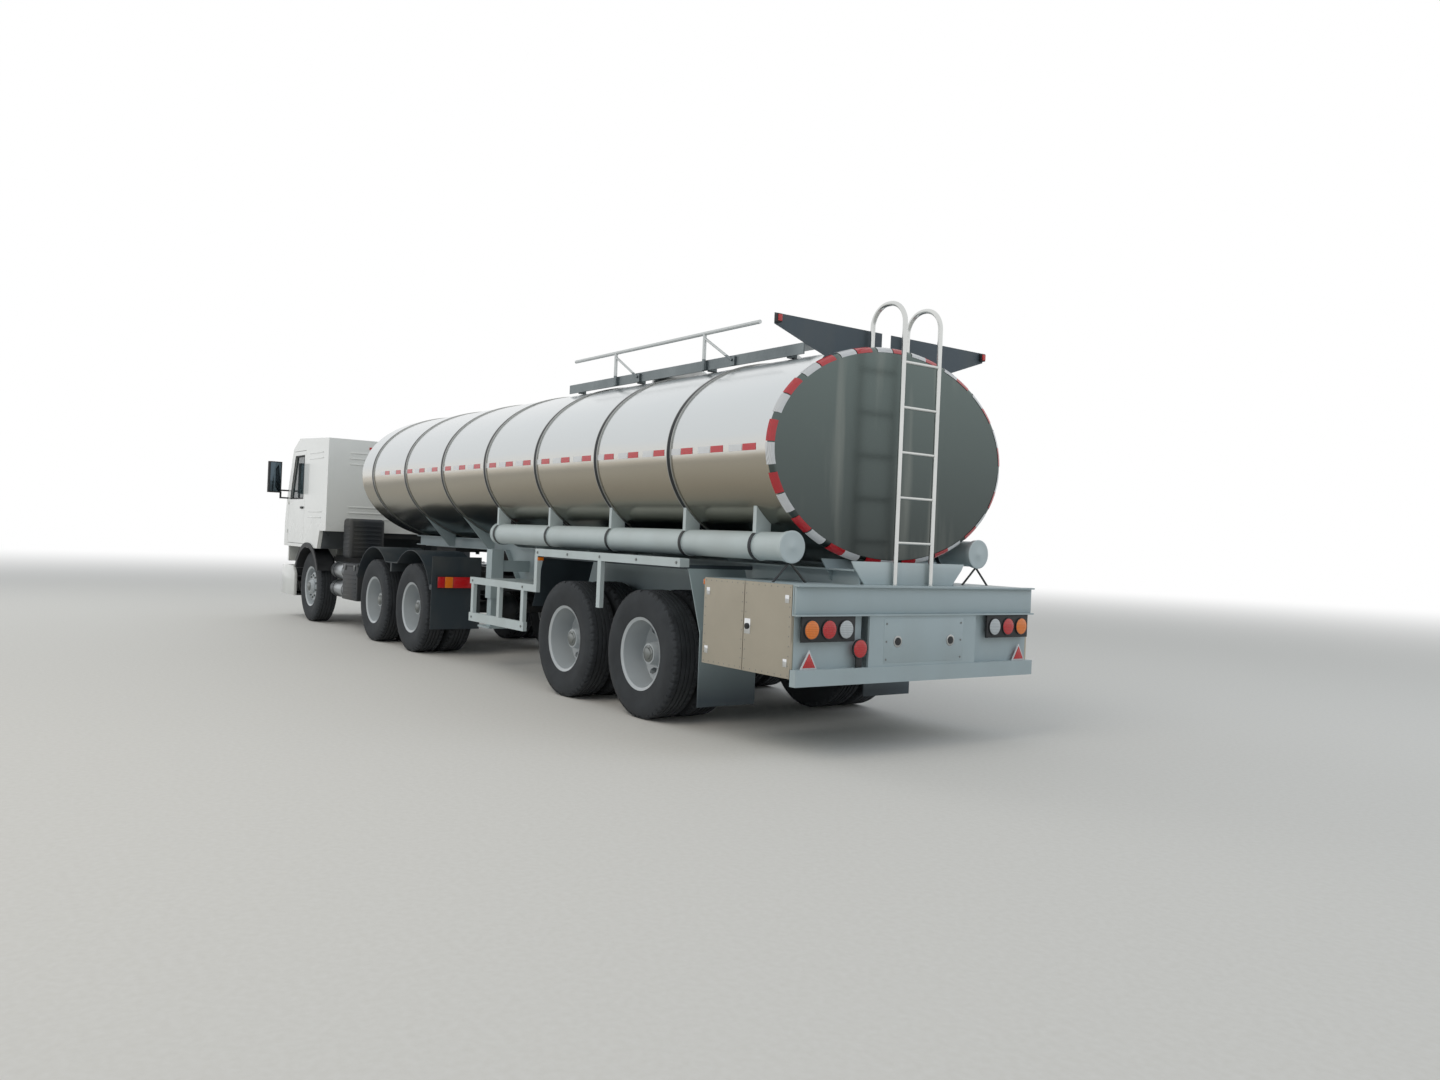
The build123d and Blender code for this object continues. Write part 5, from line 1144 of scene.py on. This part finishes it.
class TANKER_OT_cab_trim(bpy.types.Operator):
    """Fit arches, ribs, grille, visor, seals, wipers, handles, mirror glass and reflectors to the cab"""

    bl_idname = "tanker.cab_trim"
    bl_label = "Cab trim"

    def execute(self, context):
        self.screen()
        self.arches()
        glass, strips = [], []
        for name, side in SIDES:
            corners = [(fore(distance), side * DOOR_SKIN, z) for distance, z in DOOR_WINDOW]
            seal = border(corners, 0.022, 0.004)
            fit([seal], f"door_window_seal_{name}", "seal", f"cab_door_{name}")
            grip = bricks([(12.050, 12.180, 1.219, 1.240, 1.729, 1.763, 0.006)], side)
            fit(grip, f"door_handle_{name}", "trim", f"cab_door_{name}")
            glass += bricks([(12.926, 12.934, 1.355, 1.515, 2.000, 2.465, 0.003)], side)
            strips += bricks([(10.845, 10.852, 0.40, 0.62, 2.645, 2.682, 0.0015)], side)
        ribs = bricks([(10.841, 10.852, -0.90, 0.90, z - 0.011, z + 0.011, 0.004) for z in RIB_ZS])
        for z in SIDE_RIB_ZS:
            for _, side in SIDES:
                ribs += bricks([(11.10, 11.80, 1.218, 1.226, z - 0.009, z + 0.009, 0.003)], side)
        fit(glass, "mirror_faces", "mirror", "cab")
        fit(strips, "cab_rear_reflectors", "red", "cab")
        fit(ribs, "cab_ribs", "cab", "cab")
        self.front()
        return {"FINISHED"}

    def arches(self):
        """Black guards round the steered wheels, which tilt with the cab."""
        arches = []
        for way, _ in SIDES:
            arch = turned(ARCH, 72)
            arch.data.transform(Matrix.Translation((fore(FRONT_AXLE), 0, TYRE_RADIUS)) @ facing(way))
            edit(arch)
            cut = {"plane_co": (0, 0, ARCH_FOOT), "plane_no": (0, 0, 1)}
            bpy.ops.mesh.bisect(**cut, use_fill=True, clear_inner=True)
            arches.append(close())
        fit(arches, "front_wheel_arches", "trim", "cab")

    def front(self):
        """Grille with its bars, the sun visor, and the lower apron with its ribs."""
        black = bricks([(13.079, 13.086, -0.62, 0.62, 1.190, 1.470, 0.002)])
        bars = bricks(stack(4, 0.064, 13.084, 13.100, -0.60, 0.60, 1.205, 1.241, 0.006))
        black.append(slab(VISOR, "side", -1.130, 1.130, 0.004))
        black += bricks([(13.070, 13.086, -1.140, 1.140, 0.882, 1.120, 0.006)])
        black += bricks(stack(5, 0.040, 13.084, 13.096, -0.85, 0.85, 0.915, 0.934, 0.004))
        fit(black, "cab_front_black", "trim", "cab")
        fit(bars, "grille_bars", "cab", "cab")

    def screen(self):
        """Rubber seal round the windscreen, and two wipers parked on it."""
        low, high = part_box("windscreen")
        foot = Vector((high.x, 0, low.z))
        head = Vector((low.x, 0, high.z))
        rise = (head - foot).normalized()
        out = Vector((rise.z, 0, -rise.x))

        def spot(base, y, proud, up):
            return base + out * proud + Vector((0, y, 0)) + rise * up

        right, left = low.y - 0.004, high.y + 0.004
        corners = [
            spot(foot, right, 0.002, -0.004), spot(foot, left, 0.002, -0.004),
            spot(head, left, 0.002, 0), spot(head, right, 0.002, 0),
        ]
        fit([border(corners, 0.026, 0.006)], "windscreen_seal", "seal", "cab")
        wipers = []
        for y in (0.10, -0.80):
            hub, tip = spot(foot, y, 0.012, -0.03), spot(foot, y + WIPER_REACH * 0.55, 0.014, 0.16)
            wipers.append(rod(hub, tip, 0.007, 8))
            inner = spot(foot, y + WIPER_REACH * 0.1, 0.010, 0.14)
            outer = spot(foot, y + WIPER_REACH, 0.010, 0.18)
            wipers.append(rod(inner, outer, 0.006, 8))
        fit(wipers, "windscreen_wipers", "trim", "cab")


# Air tanks beside the frame: their heights, on the left side
AIR_TANKS = (0.560, 0.830)
# Sections of an air tank's end and of its strap: (y from the middle, radius)
AIR_TANK_END = ((0.340, 0.125), (0.368, 0.112), (0.384, 0.080), (0.390, 0.040), (0.390, 0.0))
AIR_TANK_STRAP = ((-0.015, 0.1248), (-0.015, 0.1275), (0.015, 0.1275), (0.015, 0.1248))
# Section of the fuel filler's cap: (y from the tank, radius)
FILLER_CAP = (
    (-0.002, 0.0), (-0.002, 0.058), (0.016, 0.058), (0.020, 0.050), (0.022, 0.030), (0.030, 0.026),
    (0.030, 0.0),
)
CLIPS = (9.62, 10.03)


class TANKER_OT_side_boxes(bpy.types.Operator):
    """Model the battery box, the air tanks, the air intake and the fuel filler cap"""

    bl_idname = "tanker.side_boxes"
    bl_label = "Boxes beside the frame"

    def execute(self, context):
        black = bricks([
            (9.502, 10.148, 0.622, 1.158, 0.452, 0.930, 0.012, 3),
            (9.494, 10.156, 0.614, 1.166, 0.922, 0.9595, 0.010, 3),
            *stack(6, 0.06, 9.56, 10.09, 1.150, 1.164, 0.50, 0.52, 0.004),
            (10.402, 10.748, 0.485, 0.995, 1.022, 1.600, 0.050, 4),
            *stack(7, 0.062, 10.396, 10.410, 0.540, 0.940, 1.10, 1.13, 0.004),
            *stack(7, 0.062, 10.450, 10.700, 0.985, 1.000, 1.10, 1.13, 0.004),
            (10.452, 10.698, -0.898, -0.482, 1.022, 1.600, 0.030, 3),
            (10.452, 10.698, -0.498, 0.498, 1.002, 1.078, 0.006),
        ])
        clips = bricks([(at - 0.018, at + 0.018, 1.156, 1.172, 0.870, 0.945, 0.003) for at in CLIPS])
        piece = fit(black, "battery_and_intake_boxes", "chassis", "tractor")
        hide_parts("side_boxes")
        fit(clips, "battery_lid_clips", "nut", "tractor")
        section = [*AIR_TANK_END] + [(-y, radius) for y, radius in reversed(AIR_TANK_END)]
        tank, strap = turned(section, 40), turned(AIR_TANK_STRAP, 40)
        tanks, straps = [], []
        for z in AIR_TANKS:
            tanks.append(mount(tank, 10.620, 0.960, z, "rear"))
            for at in (10.420, 10.820):
                straps.append(mount(strap, at, 0.960, z, "rear"))
                straps += bricks([(at - 0.015, at + 0.015, 0.430, 0.838, z - 0.012, z + 0.012, 0.003)])
        fit(tanks, "air_tanks", "aluminium", "tractor")
        fit(straps, "air_tank_straps", "chassis", "tractor")
        cap = turned(FILLER_CAP, 28)
        placed = mount(cap, 9.90, -0.87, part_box("fuel_tank")[1].z, "up")
        fit([placed], "fuel_filler_cap", "chrome", "tractor")
        discard(tank, strap, cap)
        return {"FINISHED"}


CRUMPLE = 0.07
SEAT_Y = 0.620
# Seat, backrest and headrest: rear, front, half width, low, high
SEAT_PADS = (
    (12.010, 12.450, 0.250, 1.500, 1.640), (11.905, 12.020, 0.235, 1.630, 2.180),
    (11.915, 12.010, 0.130, 2.170, 2.300),
)
# The dashboard in the side view: (distance, z)
DASHBOARD = (
    (13.020, 1.182), (12.902, 1.182), (12.655, 1.600), (12.622, 1.846), (12.930, 1.896), (13.020, 1.480),
)
STEERING_RADIUS = 0.205
STEERING_GRIP = 0.014
STEERING_LEAN = math.radians(-36)


class TANKER_OT_cab_interior(bpy.types.Operator):
    """Model the padded seats and bunk, the dashboard and the steering wheel"""

    bl_idname = "tanker.cab_interior"
    bl_label = "Cab interior"

    def execute(self, context):
        frames = []
        for name, side in SIDES:
            y = side * SEAT_Y
            seat = [self.cushion(y, *pad) for pad in SEAT_PADS]
            piece = fit(seat, f"seat_{name}", "cloth", "cab")
            frames += bricks([
                (12.050, 12.350, y - 0.150, y + 0.150, 1.180, 1.505, 0.020, 3),
                (12.000, 12.400, y - 0.274, y - 0.250, 1.480, 1.560, 0.010),
                (12.000, 12.400, y + 0.250, y + 0.274, 1.480, 1.560, 0.010),
            ])
        mattress = self.cushion(0, 10.905, 11.590, 1.095, 1.530, 1.648)
        fit([mattress], "bunk_mattress", "cloth", "cab")
        frames += bricks([(10.905, 11.598, -1.098, 1.098, 1.452, 1.540, 0.010)])
        frames.append(slab(DASHBOARD, "side", -1.098, 1.098, 0.014))
        frames.append(rod((fore(12.640), SEAT_Y, 1.760), (fore(12.500), SEAT_Y, 1.860), 0.022))
        points = [(math.sin(index * math.pi / 4), math.cos(index * math.pi / 4)) for index in range(8)]
        grip = [(STEERING_GRIP * y, STEERING_RADIUS + STEERING_GRIP * radius) for y, radius in points]
        spokes = [rod((-0.2, 0, 0), (0.2, 0, 0), 0.010), rod((0, 0, 0), (0, 0, -0.2), 0.010)]
        steering = join([turned(grip, 40), *spokes])
        lean = Matrix.Rotation(STEERING_LEAN, 4, "Y") @ facing("rear")
        steering.data.transform(Matrix.Translation((fore(12.490), SEAT_Y, 1.867)) @ lean)
        frames.append(steering)
        piece = fit(frames, "dashboard_and_seat_frames", "trim", "cab")
        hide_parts("cab_interior")
        return {"FINISHED"}

    def cushion(self, y, rear, front, half_width, foot, top):
        """A crowned pad: full in the middle of each face, with its edges and corners drawn in."""
        low, high = Vector((fore(rear), y - half_width, foot)), Vector((fore(front), y + half_width, top))
        deselect()
        bpy.ops.mesh.primitive_cube_add(size=2, location=(0, 0, 0))
        obj = bpy.context.active_object
        edit(obj)
        bpy.ops.mesh.subdivide(number_cuts=9)
        close()
        half, middle = (high - low) / 2, (high + low) / 2
        for vertex in obj.data.vertices:
            u, v, w = vertex.co
            pulled = (
                u * (1 - CRUMPLE * (v * v + w * w) / 2), v * (1 - CRUMPLE * (u * u + w * w) / 2),
                w * (1 - 2 * CRUMPLE * (u ** 4 + v ** 4)),
            )
            vertex.co = middle + Vector([p * h for p, h in zip(pulled, half)])
        modifier = obj.modifiers.new("soft_edges", "SUBSURF")
        modifier.levels = 1
        modifier.render_levels = 1
        bpy.ops.object.modifier_apply(modifier="soft_edges")
        return obj


# Focal length and width of the photograph, in its pixels
FOCAL_PIXELS = 1102
PHOTO_PIXELS = 1440


class TANKER_OT_stage(bpy.types.Operator):
    """Put the object on a pale floor under soft studio light, seen from the photograph's viewpoint"""

    bl_idname = "tanker.stage"
    bl_label = "Stage, light and camera"

    def execute(self, context):
        self.floor()
        self.world(context)
        self.lamps()
        self.camera(context)
        context.scene.view_settings.view_transform = "Standard"
        return {"FINISHED"}

    def seen(self, add):
        """1 where a camera, glossy or transmission ray looks, and 0 for light that falls on the object."""
        camera = add("LightPath", output="Is Camera Ray")
        rays = camera.node.outputs
        either = add("Math", {0: camera, 1: rays["Is Glossy Ray"]}, operation="MAXIMUM")
        return add("Math", {0: either, 1: rays["Is Transmission Ray"]}, operation="MAXIMUM")

    def floor(self):
        deselect()
        bpy.ops.mesh.primitive_circle_add(vertices=96, radius=90, fill_type="NGON", location=(0, 0, 0))
        floor = bpy.context.active_object
        floor.data.transform(Matrix.Translation((0, 0, -0.001)))
        material, add, place = start("pale_studio_floor")
        grit = add("TexNoise", {"Vector": place, "Scale": 30.0, "Detail": 4.0})
        body = add("Mix", {0: grit, 6: "CFCCC5", 7: "DBD9D4"}, 2, data_type="RGBA")
        near = add("BsdfPrincipled", {"Base Color": body, "Roughness": 0.85})
        distance = add("VectorMath", {0: place}, "Value", operation="LENGTH")
        inputs = {"Value": distance, "From Min": 10.0, "From Max": 42.0}
        far = add("MapRange", inputs, interpolation_type="SMOOTHSTEP")
        share = add("Math", {0: far, 1: self.seen(add)}, operation="MULTIPLY")
        white = add("Emission", {"Color": (1, 1, 1, 1), "Strength": 1.0})
        mix = add("MixShader", {0: share, 1: near, 2: white})
        add("OutputMaterial", {"Surface": mix})
        floor.name = "studio_floor"
        floor.data.materials.append(material)

    def world(self, context):
        world = bpy.data.worlds.new("studio_sky")
        world.use_nodes = True
        context.scene.world = world
        world.node_tree.nodes.clear()
        add = partial(add_node, world.node_tree)
        light = add("Background", {"Color": "DDE4EA", "Strength": 0.7})
        white = add("Background", {"Color": (1, 1, 1, 1), "Strength": 1.0})
        mix = add("MixShader", {0: self.seen(add), 1: light, 2: white})
        add("OutputWorld", {"Surface": mix})

    def lamps(self):
        # place, size, power, colour
        table = (
            ((-7.0, 11.0, 12.0), 9.0, 640, "FFF6EA"),
            ((-14.0, -7.0, 10.0), 8.0, 330, "EAF2FF"),
            ((10.0, 6.0, 10.0), 8.0, 350, "FFFFFF"),
        )
        for index, (place, size, power, code) in enumerate(table):
            bpy.ops.object.light_add(type="AREA", location=place)
            lamp = bpy.context.active_object
            lamp.name = f"studio_lamp_{index + 1}"
            lamp.data.size = size
            lamp.data.energy = power
            lamp.data.color = linear(code)
            lamp.visible_glossy = False
            aim = Vector((0, 0, 1.2)) - Vector(place)
            lamp.rotation_euler = aim.to_track_quat("-Z", "Y").to_euler()

    def camera(self, context):
        bpy.ops.object.camera_add(location=(0, 0, 0))
        camera = bpy.context.active_object
        camera.name = "photograph_viewpoint"
        right = Vector((-0.58858, -0.80735, 0.04205))
        up = Vector((0.02420, 0.03439, 0.99912))
        back = -Vector((0.80808, -0.58908, 0.00070))
        matrix = Matrix((right, up, back)).transposed().to_4x4()
        matrix.translation = Vector((-12.286, 6.091, 1.500))
        camera.matrix_world = matrix
        camera.data.sensor_fit = "HORIZONTAL"
        camera.data.sensor_width = 36.0
        camera.data.lens = 36.0 * FOCAL_PIXELS / PHOTO_PIXELS
        camera.data.clip_end = 400
        context.scene.camera = camera


OPERATORS = (
    TANKER_OT_finishes, TANKER_OT_tyres, TANKER_OT_wheel_nuts, TANKER_OT_tape, TANKER_OT_rear_lamps,
    TANKER_OT_rear_trim, TANKER_OT_cabinets, TANKER_OT_side_markers, TANKER_OT_tractor_lamps,
    TANKER_OT_front_bumper, TANKER_OT_cab_trim, TANKER_OT_cab_interior, TANKER_OT_side_boxes, TANKER_OT_stage,
)


class TANKER_PT_sidebar(bpy.types.Panel):
    """Sizes, colours and buttons for the tanker's pieces"""

    bl_idname = "TANKER_PT_sidebar"
    bl_label = "Tanker"
    bl_space_type = "VIEW_3D"
    bl_region_type = "UI"
    bl_category = "Tanker"

    def draw(self, context):
        for group in (context.scene.tanker_sizes, context.scene.tanker_colours):
            box = self.layout.box()
            for name in group.__annotations__:
                box.prop(group, name)
        for operator in OPERATORS:
            self.layout.operator(operator.bl_idname)


CLASSES = (TankerSizes, TankerColours, *OPERATORS, TANKER_PT_sidebar)


def register():
    for cls in CLASSES:
        bpy.utils.register_class(cls)
    bpy.types.Scene.tanker_sizes = bpy.props.PointerProperty(type=TankerSizes)
    bpy.types.Scene.tanker_colours = bpy.props.PointerProperty(type=TankerColours)


def unregister():
    del bpy.types.Scene.tanker_colours
    del bpy.types.Scene.tanker_sizes
    for cls in reversed(CLASSES):
        bpy.utils.unregister_class(cls)


def main():
    register()
    bpy.ops.tanker.finishes()
    bpy.ops.tanker.tyres()
    bpy.ops.tanker.wheel_nuts()
    bpy.ops.tanker.tape()
    bpy.ops.tanker.rear_lamps()
    bpy.ops.tanker.rear_trim()
    bpy.ops.tanker.cabinets()
    bpy.ops.tanker.side_markers()
    bpy.ops.tanker.tractor_lamps()
    bpy.ops.tanker.front_bumper()
    bpy.ops.tanker.cab_trim()
    bpy.ops.tanker.cab_interior()
    bpy.ops.tanker.side_boxes()
    bpy.ops.tanker.stage()


if __name__ == "__main__":
    main()
